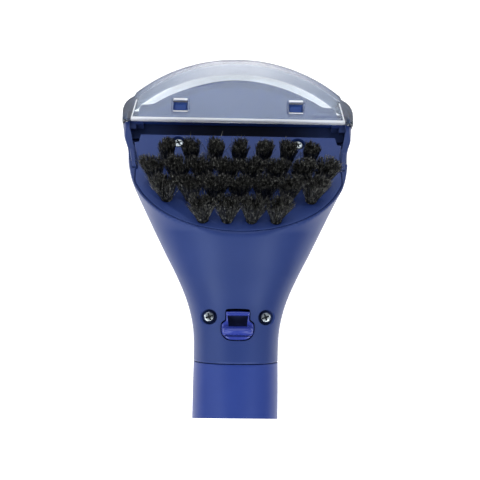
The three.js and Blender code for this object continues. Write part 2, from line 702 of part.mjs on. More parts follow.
piece("upper_shell", makeUpperShell(), "shell");
piece("lower_shell", makeLowerShell(), "shell");
piece("brush_plate", makeBrushPlate(), "plate");
piece("clear_nozzle", makeClearNozzle(), "clear");
piece("nozzle_seal", makeNozzleSeal(), "rubber");
for (const spot of tuftSpots) {
  piece(spot.name, makeTuft(spot), "bristle");
}
for (const [label, side] of [["left", -1], ["right", 1]]) {
  const frame = BRUSH_FRAME.clone().multiply(
    new THREE.Matrix4().makeTranslation(side * BRUSH_SCREW.x, BRUSH_SCREW.t, -2.6 + GAP),
  );
  piece(`brush_screw_${label}`, makeScrew(BRUSH_SCREW, 7.4, frame), "steel");
  const neckSeat = along([side * NECK_SCREW.x, NECK_SCREW.y, NECK_SCREW.seat + GAP], [0, 0, 1]);
  piece(`neck_screw_${label}`, makeScrew(NECK_SCREW, NECK_SCREW.seat - NECK_SCREW.tip, neckSeat), "steel");
}

piece("spray_tip", makeSprayTip(), "tip");
piece("spray_tip_o_ring", makeSprayORing(), "rubber");
piece("spray_socket", makeSpraySocket(), "white");
piece("solution_tube", makeSolutionTube(), "tube");
piece("solution_inlet", makeInletStem(), "white");
piece("valve_poppet", makePoppet(), "white");
piece("valve_spring", makeCoil(1.9, 0.25, 13.6, 20.4, 5, along([0, 0, INLET.z], [0, 1, 0])), "steel");
piece("connector_collar", makeCollar(), "collar");
piece("collar_seal", makeCollarSeal(), "rubber");
piece("latch_lever", makeLatchLever(), "collar");
piece("latch_pin", rod(LATCH.pinRadius, -6.8, 6.8, latchPinFrame, 12), "steel");
piece("latch_spring", makeCoil(1.45, 0.22, -1.5, 1.5, 3, latchPinFrame), "steel");

// The origin sits under the middle of the assembly's box.
const bounds = new THREE.Box3();
for (const [, manifold] of pieces) {
  const { min, max } = manifold.boundingBox();
  bounds.expandByPoint(new THREE.Vector3(...min));
  bounds.expandByPoint(new THREE.Vector3(...max));
}
const shift = [
  -(bounds.min.x + bounds.max.x) / 2,
  -(bounds.min.y + bounds.max.y) / 2,
  -bounds.min.z,
];

const group = new THREE.Group();
for (const [name, manifold, finish] of pieces) {
  const material = new THREE.MeshStandardMaterial(FINISH[finish]);
  const mesh = new THREE.Mesh(toGeometry(manifold.translate(shift)), material);
  mesh.name = name;
  group.add(mesh);
}
export default group;
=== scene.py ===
"""Looks for the brush and suction head of a spray-extraction cleaning tool.

Shapes are worked out in the tool's own millimetres, with x across, y from the connector's mouth to the nose, and z
out of the brush side. The neck's axis is at x = z = 0. They're then moved to the row's frame, in metres.
"""

import math
import random

import bpy
import numpy as np
from mathutils import Matrix, Vector


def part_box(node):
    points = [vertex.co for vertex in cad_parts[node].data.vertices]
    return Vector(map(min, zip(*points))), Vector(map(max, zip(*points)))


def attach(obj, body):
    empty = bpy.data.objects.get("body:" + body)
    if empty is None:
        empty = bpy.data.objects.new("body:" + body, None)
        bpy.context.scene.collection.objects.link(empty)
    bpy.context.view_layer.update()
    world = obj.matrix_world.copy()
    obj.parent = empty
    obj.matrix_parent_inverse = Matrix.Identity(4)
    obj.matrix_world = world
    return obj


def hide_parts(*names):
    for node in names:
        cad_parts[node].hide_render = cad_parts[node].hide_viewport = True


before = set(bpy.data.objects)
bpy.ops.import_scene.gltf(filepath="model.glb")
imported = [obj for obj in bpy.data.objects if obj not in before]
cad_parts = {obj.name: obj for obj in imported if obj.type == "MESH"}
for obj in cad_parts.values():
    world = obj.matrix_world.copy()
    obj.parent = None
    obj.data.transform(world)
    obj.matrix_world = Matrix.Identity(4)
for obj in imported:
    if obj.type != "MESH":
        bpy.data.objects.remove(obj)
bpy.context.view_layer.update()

MM = 0.001
COLLAR_LOW, COLLAR_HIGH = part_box("connector_collar")
SPIGOT_END = 38.0
ORIGIN = Vector((0.0, COLLAR_HIGH[1] - SPIGOT_END * MM, (COLLAR_HIGH[2] + COLLAR_LOW[2]) / 2))

# ---- dimensions, as in the CAD -------------------------------------------------------------------
WALL = 2.4
NECK_HALF_HEIGHT = 19.0
SEAM_Y = 28.4
SHELL_END_Y = 147.0
HALF_WIDTH = [
    (0, 20.8), (30, 20.4), (44, 21), (56, 23.8), (68, 28.8), (82, 36.1), (98, 44.1),
    (114, 51.6), (123, 54), (131, 54.7), (138, 56.9), (150, 57.9),
]
SPLIT_Y = 70.0
SPLIT_SLOPE = 0.33
BACK_FACE_Y = 97.0
POWER = 2.3
BRUSH_TILT = math.radians(38)
BRUSH_EDGE = (0.0, 138.8, -13.2)
PLATE_THICK = 4.5
PLATE_HALF = 50.0
PLATE_FRONT_HALF = 48.4
OVAL_HALF, OVAL_REACH, OVAL_CENTRE, OVAL_POWER = 54.6, 65.2, 5.0, 3
RIM = 1.3
DECK = 2.2
SLOT_OUTLINE = [(46, 9), (46, -5.2), (51.6, -5.2), (52.0, -4.6), (54, 4.5), (54, 9)]
TRENCH = [(49.35, -22.25), (51.7, -22.25), (53.2, -10.2), (50.95, -10.2)]
RAIL = [(49.8, -21.8), (51.7, -21.8), (53.3, -10.6), (51.4, -10.6)]
NOSE_TILT = math.radians(15)
LIP = (0.0, 146.1, -16.0)
NOSE_THICK = 15.0
CLEAR_WALL = 2.0
NOSE_RADIUS = 79.0
NOSE_REACH = 33.7
SHOULDER_HALF = 57.9
MOUTH_HALF = 47.4
PANEL_TOP = -3.6
LUG_X, LUG_Y = 29.0, 8.0
GAP = 0.3


def frame_at(origin, tilt):
    return Matrix.Translation(Vector(origin)) @ Matrix.Rotation(-tilt, 4, "X")


BRUSH = frame_at(BRUSH_EDGE, BRUSH_TILT)
NOSE = frame_at(LIP, NOSE_TILT)
PLAIN = Matrix.Identity(4)


# ---- mesh helpers ---------------------------------------------------------------------------------
# Every mesh has four material places, filled in by settle: its outside, its inside, and two more. On several
# pieces these other places hold painted shade or painted highlights rather than a finish of their own.
PLACES = [bpy.data.materials.new(f"place_{k}") for k in range(4)]
OUTSIDE, INSIDE, THIRD, FOURTH = range(4)


def mark(obj, place):
    for polygon in obj.data.polygons:
        polygon.material_index = place
    return obj


def to_world(points, matrix=PLAIN):
    full = np.array(matrix)
    pts = np.asarray(points, dtype=float)
    pts = pts @ full[:3, :3].T + full[:3, 3]
    return pts * MM + np.array(ORIGIN)


def new_object(name, points, faces, matrix=PLAIN):
    mesh = bpy.data.meshes.new(name)
    mesh.from_pydata([tuple(p) for p in to_world(points, matrix)], [], faces)
    for place in PLACES:
        mesh.materials.append(place)
    mesh.update()
    obj = bpy.data.objects.new(name, mesh)
    bpy.context.scene.collection.objects.link(obj)
    return obj


def drop(obj):
    mesh = obj.data
    bpy.data.objects.remove(obj, do_unlink=True)
    if mesh.users == 0:
        bpy.data.meshes.remove(mesh)


def bake(obj):
    """Applies obj's modifiers to its mesh."""
    graph = bpy.context.evaluated_depsgraph_get()
    graph.update()
    mesh = bpy.data.meshes.new_from_object(obj.evaluated_get(graph))
    old = obj.data
    obj.modifiers.clear()
    obj.data = mesh
    bpy.data.meshes.remove(old)
    return obj


def combine(obj, other, operation="DIFFERENCE"):
    """Cuts other out of obj, or joins it on, and drops other."""
    mod = obj.modifiers.new("cut", "BOOLEAN")
    mod.object = other
    mod.operation = operation
    mod.solver = "MANIFOLD"
    bake(obj)
    drop(other)
    return obj


def round_edges(obj, width):
    mod = obj.modifiers.new("edges", "BEVEL")
    mod.width = width * MM
    mod.segments = 2
    mod.limit_method = "ANGLE"
    mod.angle_limit = math.radians(35)
    mod.use_clamp_overlap = True
    return bake(obj)


def finish_shading(obj, angle):
    mesh = obj.data
    mesh.polygons.foreach_set("use_smooth", [True] * len(mesh.polygons))
    mesh.set_sharp_from_angle(angle=math.radians(angle))
    mesh.update()


def ring_faces(rings, count, flip=False):
    """Quads between successive rings of count points, and an end cap at each end."""
    faces = []
    for r in range(rings - 1):
        for i in range(count):
            j = (i + 1) % count
            faces.append((r * count + i, r * count + j, (r + 1) * count + j, (r + 1) * count + i))
    faces.append(tuple(range(count - 1, -1, -1)))
    faces.append(tuple((rings - 1) * count + i for i in range(count)))
    if flip:
        faces = [tuple(reversed(f)) for f in faces]
    return faces


def offset_outline(points, amount):
    """Moves a counter-clockwise outline inwards by amount."""
    pts = np.array(points, dtype=float)
    before = pts - np.roll(pts, 1, axis=0)
    after = np.roll(pts, -1, axis=0) - pts
    before /= np.linalg.norm(before, axis=1)[:, None]
    after /= np.linalg.norm(after, axis=1)[:, None]
    n1 = np.stack([-before[:, 1], before[:, 0]], axis=1)
    n2 = np.stack([-after[:, 1], after[:, 0]], axis=1)
    mid = n1 + n2
    mid /= np.linalg.norm(mid, axis=1)[:, None]
    scale = np.clip(1 / np.maximum((mid * n1).sum(axis=1), 0.35), 0.5, 1.6)
    return pts + mid * (amount * scale)[:, None]


def area_of(points):
    pts = np.array(points)
    x, y = pts[:, 0], pts[:, 1]
    return 0.5 * np.sum(x * np.roll(y, -1) - np.roll(x, -1) * y)


def ccw(points):
    return list(points) if area_of(points) > 0 else list(reversed(points))


def resample(points, step):
    """Extra points along the straight runs of a closed outline, at most step apart."""
    out = []
    count = len(points)
    for i in range(count):
        a = np.array(points[i], dtype=float)
        b = np.array(points[(i + 1) % count], dtype=float)
        parts = max(1, int(math.ceil(np.linalg.norm(b - a) / step)))
        out += [tuple(a + (b - a) * k / parts) for k in range(parts)]
    return out


def soften(points, passes=1):
    """Corner cutting that turns a coarse closed outline into a smooth one."""
    pts = np.array(points, dtype=float)
    for _ in range(passes):
        nxt = np.roll(pts, -1, axis=0)
        q = 0.75 * pts + 0.25 * nxt
        r = 0.25 * pts + 0.75 * nxt
        pts = np.empty((2 * len(q), 2))
        pts[0::2] = q
        pts[1::2] = r
    return [tuple(p) for p in pts]


OVERSHOOT = 8.0


def prism(name, outline, low, high, matrix=PLAIN, round_low=0.0, round_high=0.0, steps=3, flare=0.0):
    """A solid of constant outline with rounded edges. flare widens its top, for cutters of rounded openings."""
    outline = ccw(outline)
    levels = []
    if round_low > 0:
        for k in range(steps + 1):
            a = math.pi / 2 * k / steps
            levels.append((low + round_low * (1 - math.sin(a)), round_low * (1 - math.cos(a))))
        levels.sort(key=lambda item: item[0])
    else:
        levels.append((low, 0.0))
    if flare > 0:
        for k in range(steps + 1):
            a = math.pi / 2 * k / steps
            levels.append((high - flare + flare * math.sin(a), -flare * (1 - math.cos(a))))
        levels.append((high + OVERSHOOT, -flare))
    elif round_high > 0:
        for k in range(steps + 1):
            a = math.pi / 2 * k / steps
            levels.append((high - round_high + round_high * math.sin(a), round_high * (1 - math.cos(a))))
    else:
        levels.append((high, 0.0))
    points = []
    for z, inset in levels:
        ring = offset_outline(outline, inset) if inset else np.array(outline, dtype=float)
        points += [(x, y, z) for x, y in ring]
    return new_object(name, points, ring_faces(len(levels), len(outline)), matrix)


def block(name, low, high, matrix=PLAIN, bevel=0.0):
    (x0, y0, z0), (x1, y1, z1) = low, high
    outline = [(x0, y0), (x1, y0), (x1, y1), (x0, y1)]
    obj = prism(name, outline, z0, z1, matrix)
    return round_edges(obj, bevel) if bevel else obj


def turned(name, profile, matrix=PLAIN, segments=48):
    """A turned solid about local z. The profile is a list of (radius, height), rising on the outside."""
    points = []
    for r, h in profile:
        for i in range(segments):
            a = 2 * math.pi * i / segments
            points.append((r * math.cos(a), r * math.sin(a), h))
    return new_object(name, points, ring_faces(len(profile), segments), matrix)


def along(origin, direction):
    turn = Vector((0, 0, 1)).rotation_difference(Vector(direction)).to_matrix().to_4x4()
    return Matrix.Translation(Vector(origin)) @ turn


def arc_profile(centre_r, centre_h, radius, start, end, steps):
    out = []
    for k in range(steps + 1):
        a = math.radians(start + (end - start) * k / steps)
        out.append((centre_r + radius * math.cos(a), centre_h + radius * math.sin(a)))
    return out


# ---- body form ------------------------------------------------------------------------------------
def table_value(table, y):
    last = len(table) - 1
    if y <= table[0][0]:
        return table[0][1]
    if y >= table[last][0]:
        return table[last][1]
    i = 0
    while table[i + 1][0] < y:
        i += 1

    def slope(k):
        if k in (0, last):
            return 0.0
        return (table[k + 1][1] - table[k - 1][1]) / (table[k + 1][0] - table[k - 1][0])

    span = table[i + 1][0] - table[i][0]
    s = (y - table[i][0]) / span
    h00 = 2 * s**3 - 3 * s**2 + 1
    h10 = s**3 - 2 * s**2 + s
    h01 = -2 * s**3 + 3 * s**2
    h11 = s**3 - s**2
    return h00 * table[i][1] + h10 * span * slope(i) + h01 * table[i + 1][1] + h11 * span * slope(i + 1)


def split_height(y):
    return 0.0 if y <= SPLIT_Y else -(y - SPLIT_Y) * SPLIT_SLOPE


def brush_height(y, depth=0.0):
    return BRUSH_EDGE[2] - (y - BRUSH_EDGE[1]) * math.tan(BRUSH_TILT) - depth / math.cos(BRUSH_TILT)


def nose_height(y, depth=0.0):
    return LIP[2] - (y - LIP[1]) * math.tan(NOSE_TILT) - depth / math.cos(NOSE_TILT)


FACE_START_Y = BRUSH_EDGE[1] - (OVAL_REACH + RIM - OVAL_CENTRE) * math.cos(BRUSH_TILT)


def face_half_width(y):
    t = (BRUSH_EDGE[1] - y) / math.cos(BRUSH_TILT)
    reach = (t + OVAL_CENTRE) / (OVAL_REACH + RIM)
    return 0.0 if reach >= 1 else (OVAL_HALF + RIM) * math.sqrt(1 - reach**OVAL_POWER)


def top_height(y):
    middle = split_height(y)
    if y <= FACE_START_Y:
        crest = brush_height(FACE_START_Y)
        table = [(48, NECK_HALF_HEIGHT), (70, 21.3), (FACE_START_Y, crest), (FACE_START_Y + 9, crest + 1)]
        return table_value(table, y) - middle
    share = min(face_half_width(y) / table_value(HALF_WIDTH, y), 0.985)
    return max((brush_height(y) - middle) / (1 - share**POWER) ** (1 / POWER), 20.0)


def bottom_height(y):
    table = [(60, NECK_HALF_HEIGHT), (80, 15.9), (BACK_FACE_Y, 9.8), (120, 16), (140, 21), (150, 22)]
    return table_value(table, y)


def smooth_min(a, b, k):
    h = max(k - abs(a - b), 0.0) / k
    return min(a, b) - h * h * k / 4


NOSE_BLEND_START_Y = 125.0
LEAST_RISE = 0.02


def half_section(y, inset, top, count, brush_depth, back_lift, blend):
    """Points of the upper or lower half of the body at a station, from the right (+x) to the left (-x).

    brush_depth is how far the section stays under the brush and nose faces, back_lift how far it stays above the
    back face, and blend the width over which it turns into them.
    """
    half_width = table_value(HALF_WIDTH, y) - inset
    height = (top_height(y) if top else bottom_height(y)) - inset
    middle = split_height(y)
    out = []
    for i in range(count + 1):
        a = math.pi * i / count
        c, s = math.cos(a), math.sin(a)
        x = math.copysign(half_width * abs(c) ** (2 / POWER), c)
        z = height * abs(s) ** (2 / POWER)
        if top:
            z = middle + z
            z = smooth_min(z, brush_height(y, brush_depth), blend)
            if y > NOSE_BLEND_START_Y:
                z = smooth_min(z, nose_height(y, brush_depth), blend)
            z = max(z, middle + LEAST_RISE)
        else:
            z = middle - z
            if y > BACK_FACE_Y:
                low = nose_height(y, NOSE_THICK - back_lift)
                z = -smooth_min(-z, -low, blend * min(1.0, (y - BACK_FACE_Y) / 6 + 0.05))
            z = min(z, middle - LEAST_RISE)
        out.append((x, y, z))
    return out


def stations(a, b, step):
    count = max(1, round((b - a) / step))
    return [a + (b - a) * i / count for i in range(count + 1)]


SEAM_HALF_GAP = 0.12
SECTION_POINTS = 150
SEAM_EDGE = [(0.0, 0.4), (0.12, 0.12), (0.4, 0.0)]


def shell_half(name, top):
    """One moulded half of the body as a closed solid: outer skin, inner skin, and the edges between them.

    SEAM_EDGE rounds the edge at the collar: (distance from the seam, inset) for its first stations.
    """
    levels = [(SEAM_Y + step, inset) for step, inset in SEAM_EDGE]
    levels += [(y, 0.0) for y in stations(SEAM_Y + 1.2, SHELL_END_Y, 1.0)]
    rise = SEAM_HALF_GAP if top else -SEAM_HALF_GAP
    outer, inner = [], []
    for y, inset in levels:
        row = half_section(y, inset, top, SECTION_POINTS, 0.0, 0.0, 1.6)
        outer.append([(x, yy, z + rise) for x, yy, z in row])
        row = half_section(y, WALL, top, SECTION_POINTS, PLATE_THICK + GAP + DECK, WALL - 0.2, 1.0)
        inner.append([(x, yy, z + rise) for x, yy, z in row])
    rows, width = len(levels), SECTION_POINTS + 1
    points = [p for row in outer for p in row] + [p for row in inner for p in row]
    base = rows * width

    def o(r, i):
        return r * width + i

    def n(r, i):
        return base + r * width + i

    faces = []
    for r in range(rows - 1):
        for i in range(width - 1):
            faces.append((o(r, i), o(r, i + 1), o(r + 1, i + 1), o(r + 1, i)))
            faces.append((n(r, i), n(r + 1, i), n(r + 1, i + 1), n(r, i + 1)))
        faces.append((o(r, 0), o(r + 1, 0), n(r + 1, 0), n(r, 0)))
        faces.append((o(r + 1, width - 1), o(r, width - 1), n(r, width - 1), n(r + 1, width - 1)))
    for i in range(width - 1):
        faces.append((o(0, i + 1), o(0, i), n(0, i), n(0, i + 1)))
        faces.append((o(rows - 1, i), o(rows - 1, i + 1), n(rows - 1, i + 1), n(rows - 1, i)))
    if top:
        faces = [tuple(reversed(f)) for f in faces]
    shell = new_object(name, points, faces)
    # inner skin faces take the inside place: painted shade in the chamber
    for polygon in shell.data.polygons:
        if all(v >= base for v in polygon.vertices):
            polygon.material_index = INSIDE
    return shell


# ---- materials ------------------------------------------------------------------------------------
def srgb(r, g, b):
    def lin(v):
        v /= 255
        return v / 12.92 if v <= 0.04045 else ((v + 0.055) / 1.055) ** 2.4

    return (lin(r), lin(g), lin(b), 1.0)


def base_material(name):
    mat = bpy.data.materials.new(name)
    mat.use_nodes = True
    nodes = mat.node_tree.nodes
    return mat, nodes, mat.node_tree.links, nodes["Principled BSDF"]


def add_noise(nodes, links, scale, detail=3.0, rough=0.55):
    coord = nodes.new("ShaderNodeTexCoord")
    noise = nodes.new("ShaderNodeTexNoise")
    noise.inputs["Scale"].default_value = scale
    noise.inputs["Detail"].default_value = detail
    noise.inputs["Roughness"].default_value = rough
    links.new(coord.outputs["Object"], noise.inputs["Vector"])
    return noise


def add_ramp(nodes, links, source, stops):
    ramp = nodes.new("ShaderNodeValToRGB")
    ramp.color_ramp.elements[0].position = stops[0][0]
    ramp.color_ramp.elements[0].color = stops[0][1]
    ramp.color_ramp.elements[1].position = stops[-1][0]
    ramp.color_ramp.elements[1].color = stops[-1][1]
    for position, color in stops[1:-1]:
        ramp.color_ramp.elements.new(position).color = color
    links.new(source, ramp.inputs["Fac"])
    return ramp


def add_range(nodes, links, source, low, high):
    node = nodes.new("ShaderNodeMapRange")
    node.inputs["To Min"].default_value = low
    node.inputs["To Max"].default_value = high
    links.new(source, node.inputs["Value"])
    return node


def add_bump(nodes, links, source, shader, strength, distance, chain=None):
    bump = nodes.new("ShaderNodeBump")
    bump.inputs["Strength"].default_value = strength
    bump.inputs["Distance"].default_value = distance
    links.new(source, bump.inputs["Height"])
    if chain is not None:
        links.new(chain.outputs["Normal"], bump.inputs["Normal"])
    links.new(bump.outputs["Normal"], shader.inputs["Normal"])
    return bump


def shade(color, factor):
    return tuple(min(1.0, c * factor) for c in color[:3]) + (1.0,)


SHEEN_TINT = (0.62, 0.76, 1.0, 1)


def moulded_plastic(name, color, roughness, grain=0.05, coat=0.0, tint=SHEEN_TINT):
    """Moulded plastic: faint flow mottling, fine satin grain, and uneven gloss where it's handled."""
    mat, nodes, links, shader = base_material(name)
    mottling = add_noise(nodes, links, 26.0, 4.0)
    stops = [(0.3, shade(color, 0.92)), (0.7, shade(color, 1.08))]
    ramp = add_ramp(nodes, links, mottling.outputs["Fac"], stops)
    links.new(ramp.outputs["Color"], shader.inputs["Base Color"])
    handling = add_noise(nodes, links, 55.0, 5.0, 0.6)
    gloss = add_range(nodes, links, handling.outputs["Fac"], roughness - 0.06, roughness + 0.07)
    links.new(gloss.outputs["Result"], shader.inputs["Roughness"])
    fine = add_noise(nodes, links, 3200.0, 2.0)
    wide = add_noise(nodes, links, 38.0, 2.0)
    first = add_bump(nodes, links, wide.outputs["Fac"], shader, 0.06, 0.0006)
    add_bump(nodes, links, fine.outputs["Fac"], shader, grain, 0.00004, first)
    shader.inputs["IOR"].default_value = 1.38
    shader.inputs["Specular Tint"].default_value = tint
    shader.inputs["Coat Weight"].default_value = coat
    shader.inputs["Coat Roughness"].default_value = 0.15
    return mat


def clear_plastic(name, color, roughness=0.035, transmission=0.95):
    """Clear moulding with slight haze, faint flow waves and uneven gloss."""
    mat, nodes, links, shader = base_material(name)
    haze = add_noise(nodes, links, 70.0, 4.0)
    stops = [(0.3, shade(color, 0.96)), (0.75, shade(color, 1.03))]
    tint = add_ramp(nodes, links, haze.outputs["Fac"], stops)
    links.new(tint.outputs["Color"], shader.inputs["Base Color"])
    rough = add_range(nodes, links, haze.outputs["Fac"], roughness * 0.4, roughness * 1.6)
    links.new(rough.outputs["Result"], shader.inputs["Roughness"])
    wave = add_noise(nodes, links, 30.0, 2.0)
    add_bump(nodes, links, wave.outputs["Fac"], shader, 0.05, 0.0008)
    shader.inputs["IOR"].default_value = 1.46
    shader.inputs["Specular Tint"].default_value = (0.7, 0.83, 1.0, 1)
    shader.inputs["Transmission Weight"].default_value = transmission
    return mat


def side_ramp(nodes, links, near, far, stops):
    """Colours that change with the distance from the tool's middle plane, from near to far in metres."""
    coord = nodes.new("ShaderNodeTexCoord")
    axes = nodes.new("ShaderNodeSeparateXYZ")
    links.new(coord.outputs["Object"], axes.inputs["Vector"])
    side = nodes.new("ShaderNodeMath")
    side.operation = "ABSOLUTE"
    links.new(axes.outputs["X"], side.inputs[0])
    share = add_range(nodes, links, side.outputs["Value"], 0.0, 1.0)
    share.inputs["From Min"].default_value = near
    share.inputs["From Max"].default_value = far
    return add_ramp(nodes, links, share.outputs["Result"], stops)


def clear_wall_painted_shade(name):
    """The nozzle's side wall, seen along its depth, its colour painted shade: nearly clear at the nose, slate blue
    darkening to near black at the shoulders.
    """
    mat, nodes, links, shader = base_material(name)
    # painted shade: the stops darken the clear wall towards the shoulders
    stops = [(0.0, (0.74, 0.76, 0.84, 1)), (0.45, (0.44, 0.48, 0.60, 1)), (0.82, (0.18, 0.23, 0.36, 1)),
             (0.93, (0.10, 0.14, 0.24, 1)), (1.0, (0.025, 0.045, 0.10, 1))]
    tint = side_ramp(nodes, links, 0.012, 0.0535, stops)
    links.new(tint.outputs["Color"], shader.inputs["Base Color"])
    haze = add_noise(nodes, links, 90.0, 3.0)
    rough = add_range(nodes, links, haze.outputs["Fac"], 0.05, 0.16)
    links.new(rough.outputs["Result"], shader.inputs["Roughness"])
    shader.inputs["IOR"].default_value = 1.46
    shader.inputs["Transmission Weight"].default_value = 0.75
    return mat


def painted_shade_inside(name):
    """The unpolished inside of the shells, its colour painted shade: near black in the middle, slate blue towards
    the sides, painted lighter there as if lit at the chamber's ends.
    """
    mat, nodes, links, shader = base_material(name)
    # painted shade: the stops darken the navy towards the middle, away from the lit sides
    stops = [(0.0, srgb(7, 9, 22)), (0.5, srgb(16, 22, 46)), (1.0, srgb(40, 54, 96))]
    tint = side_ramp(nodes, links, 0.012, 0.046, stops)
    links.new(tint.outputs["Color"], shader.inputs["Base Color"])
    wear = add_noise(nodes, links, 60.0, 4.0)
    rough = add_range(nodes, links, wear.outputs["Fac"], 0.68, 0.84)
    links.new(rough.outputs["Result"], shader.inputs["Roughness"])
    shader.inputs["Specular Tint"].default_value = (0.3, 0.35, 0.5, 1)
    return mat


def filament(name):
    """Black nylon with lighter streaks in its colour as painted highlights, where filaments would catch the light.
    """
    mat, nodes, links, shader = base_material(name)
    painted_highlight_streak = add_noise(nodes, links, 900.0, 2.0)
    # near black is the nylon's own colour; the light top stop is a painted highlight
    stops = [
        (0.40, (0.002, 0.002, 0.002, 1)),
        (0.55, (0.009, 0.0095, 0.0095, 1)),
        (0.66, (0.16, 0.165, 0.15, 1)),
    ]
    ramp = add_ramp(nodes, links, painted_highlight_streak.outputs["Fac"], stops)
    links.new(ramp.outputs["Color"], shader.inputs["Base Color"])
    shader.inputs["Roughness"].default_value = 0.34
    shader.inputs["IOR"].default_value = 1.45
    return mat


def metal(name, color, roughness):
    """Plated steel with blotches and fine brushing marks."""
    mat, nodes, links, shader = base_material(name)
    blotch = add_noise(nodes, links, 420.0, 5.0)
    stops = [(0.3, shade(color, 0.72)), (0.7, shade(color, 1.12))]
    ramp = add_ramp(nodes, links, blotch.outputs["Fac"], stops)
    links.new(ramp.outputs["Color"], shader.inputs["Base Color"])
    rough = add_range(nodes, links, blotch.outputs["Fac"], roughness - 0.08, roughness + 0.12)
    links.new(rough.outputs["Result"], shader.inputs["Roughness"])
    fine = add_noise(nodes, links, 2600.0, 2.0)
    add_bump(nodes, links, fine.outputs["Fac"], shader, 0.08, 0.00003)
    shader.inputs["Metallic"].default_value = 1.0
    return mat


def rubber(name, color, roughness=0.7):
    """Moulded rubber with a faint bloom."""
    mat, nodes, links, shader = base_material(name)
    bloom = add_noise(nodes, links, 140.0, 4.0)
    ramp = add_ramp(nodes, links, bloom.outputs["Fac"], [(0.3, shade(color, 0.8)), (0.7, shade(color, 1.4))])
    links.new(ramp.outputs["Color"], shader.inputs["Base Color"])
    fine = add_noise(nodes, links, 1500.0, 3.0)
    add_bump(nodes, links, fine.outputs["Fac"], shader, 0.15, 0.00005)
    shader.inputs["Roughness"].default_value = roughness
    return mat


# The skirt's dull reflection tint and darker navy are painted shade along the band round the panel; its high
# roughness is a real matt finish.
SKIRT_PAINTED_SHADE_TINT = (0.25, 0.3, 0.45, 1)
MATS = {
    "shell_plastic": moulded_plastic("shell_navy", srgb(28, 44, 95), 0.42),
    "inside": painted_shade_inside("navy_inside_painted_shade"),
    # The panel's navy is a lighter, bluer copy of the shell navy: painted light on the panel seen through the
    # clear nozzle.
    "panel": moulded_plastic("nose_panel_navy_painted_light", srgb(38, 65, 133), 0.42),
    "skirt": moulded_plastic("matt_navy_skirt_painted_shade", srgb(31, 55, 119), 0.85, 0.02, tint=SKIRT_PAINTED_SHADE_TINT),
    "plate_plastic": moulded_plastic("plate_navy", srgb(33, 50, 103), 0.46),
    "collar_plastic": moulded_plastic("collar_navy", srgb(28, 46, 110), 0.42),
    "tip_plastic": moulded_plastic("tip_blue", srgb(36, 49, 128), 0.26, 0.03, 0.35),
    # The pit colour is the tip's blue darkened as painted shade in the pit and groove.
    "tip_pit_painted_shade": moulded_plastic("tip_blue_pit_painted_shade", srgb(14, 20, 66), 0.5),
    "clear_plastic": clear_plastic("clear_nozzle_plastic", (0.9, 0.925, 0.95, 1)),
    "clear_wall_painted_shade": clear_wall_painted_shade("clear_nozzle_wall_painted_shade"),
    # The frosted lip finish is real on the lip; on the snap bars, sills and beads it stands as a painted
    # highlight.
    "frosted_lip_and_highlights": clear_plastic("clear_nozzle_lip_and_highlights", (0.86, 0.88, 0.93, 1), 0.4, 0.35),
    "bristle": filament("black_nylon"),
    "steel": metal("zinc_steel", (0.40, 0.45, 0.48, 1), 0.3),
    # The recess colour is the steel darkened as painted shade in the cross recess.
    "steel_recess_painted_shade": metal("zinc_steel_recess", (0.05, 0.06, 0.07, 1), 0.5),
    "rubber": rubber("black_rubber", (0.012, 0.012, 0.013, 1)),
    "tube": rubber("tube_silicone", (0.55, 0.57, 0.6, 1), 0.4),
    "white_plastic": moulded_plastic("natural_acetal", (0.62, 0.62, 0.6, 1), 0.4, tint=(1, 1, 1, 1)),
}


def settle(obj, node_names, body, slot, angle=32, inside=None, third=None, fourth=None):
    """Shades a finished piece, gives it its materials, and puts it on its body in place of its CAD nodes.

    angle is the least angle in degrees of an edge that stays sharp.
    """
    finish_shading(obj, angle)
    obj.data.materials[OUTSIDE] = MATS[slot]
    obj.data.materials[INSIDE] = MATS[inside or slot]
    obj.data.materials[THIRD] = MATS[third or slot]
    obj.data.materials[FOURTH] = MATS[fourth or slot]
    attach(obj, body)
    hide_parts(*node_names)
    return obj


# ---- brush plate ----------------------------------------------------------------------------------
def plate_outline(grow, steps=40):
    """Plan of the plate: straight front, a notch for the rail at each side, and an oval heel."""
    front = 3.0 if grow > 0 else 0.0
    right = [
        (PLATE_FRONT_HALF + grow, front), (PLATE_FRONT_HALF + 0.8 + grow, -4.9 + grow),
        (51.2 + grow, -5.3 + grow), (50.2 + grow, -10.6), (48.9 + grow, -22.3 + grow),
        (PLATE_HALF + grow, -23.2 + grow),
    ]
    start = math.acos(PLATE_HALF / OVAL_HALF)
    for i in range(steps + 1):
        a = start + (math.pi / 2 - start) * i / steps
        x = 0.0 if i == steps else (OVAL_HALF + grow) * math.cos(a)
        right.append((x, OVAL_CENTRE - (OVAL_REACH + grow) * math.sin(a) ** (2 / OVAL_POWER)))
    left = [(-x, t) for x, t in right if x > 0][::-1]
    return ccw(right + left)


# Each row is its name, its place down the plate, and its number of tufts.
TUFT_ROWS = [("front", -18, 7), ("second", -30, 8), ("third", -40.8, 7), ("heel", -53.4, 4)]
TUFT_PITCH = 11.5
TUFT_LENGTH = 14.4
TUFTS = [
    (f"tuft_{name}_{i + 1}", (i - (count - 1) / 2) * TUFT_PITCH, t)
    for name, t, count in TUFT_ROWS
    for i in range(count)
]


def local(matrix, x, y, z=0.0):
    return matrix @ Matrix.Translation((x, y, z))


def bore(name, radius, low, matrix, flare, segments):
    """A cutter for a round hole with a rounded mouth at local z = 0."""
    outline = [
        (radius * math.cos(2 * math.pi * i / segments), radius * math.sin(2 * math.pi * i / segments))
        for i in range(segments)
    ]
    return prism(name, outline, low, 0.0, matrix, flare=flare)


BRUSH_SCREW = (29.6, -4.6)


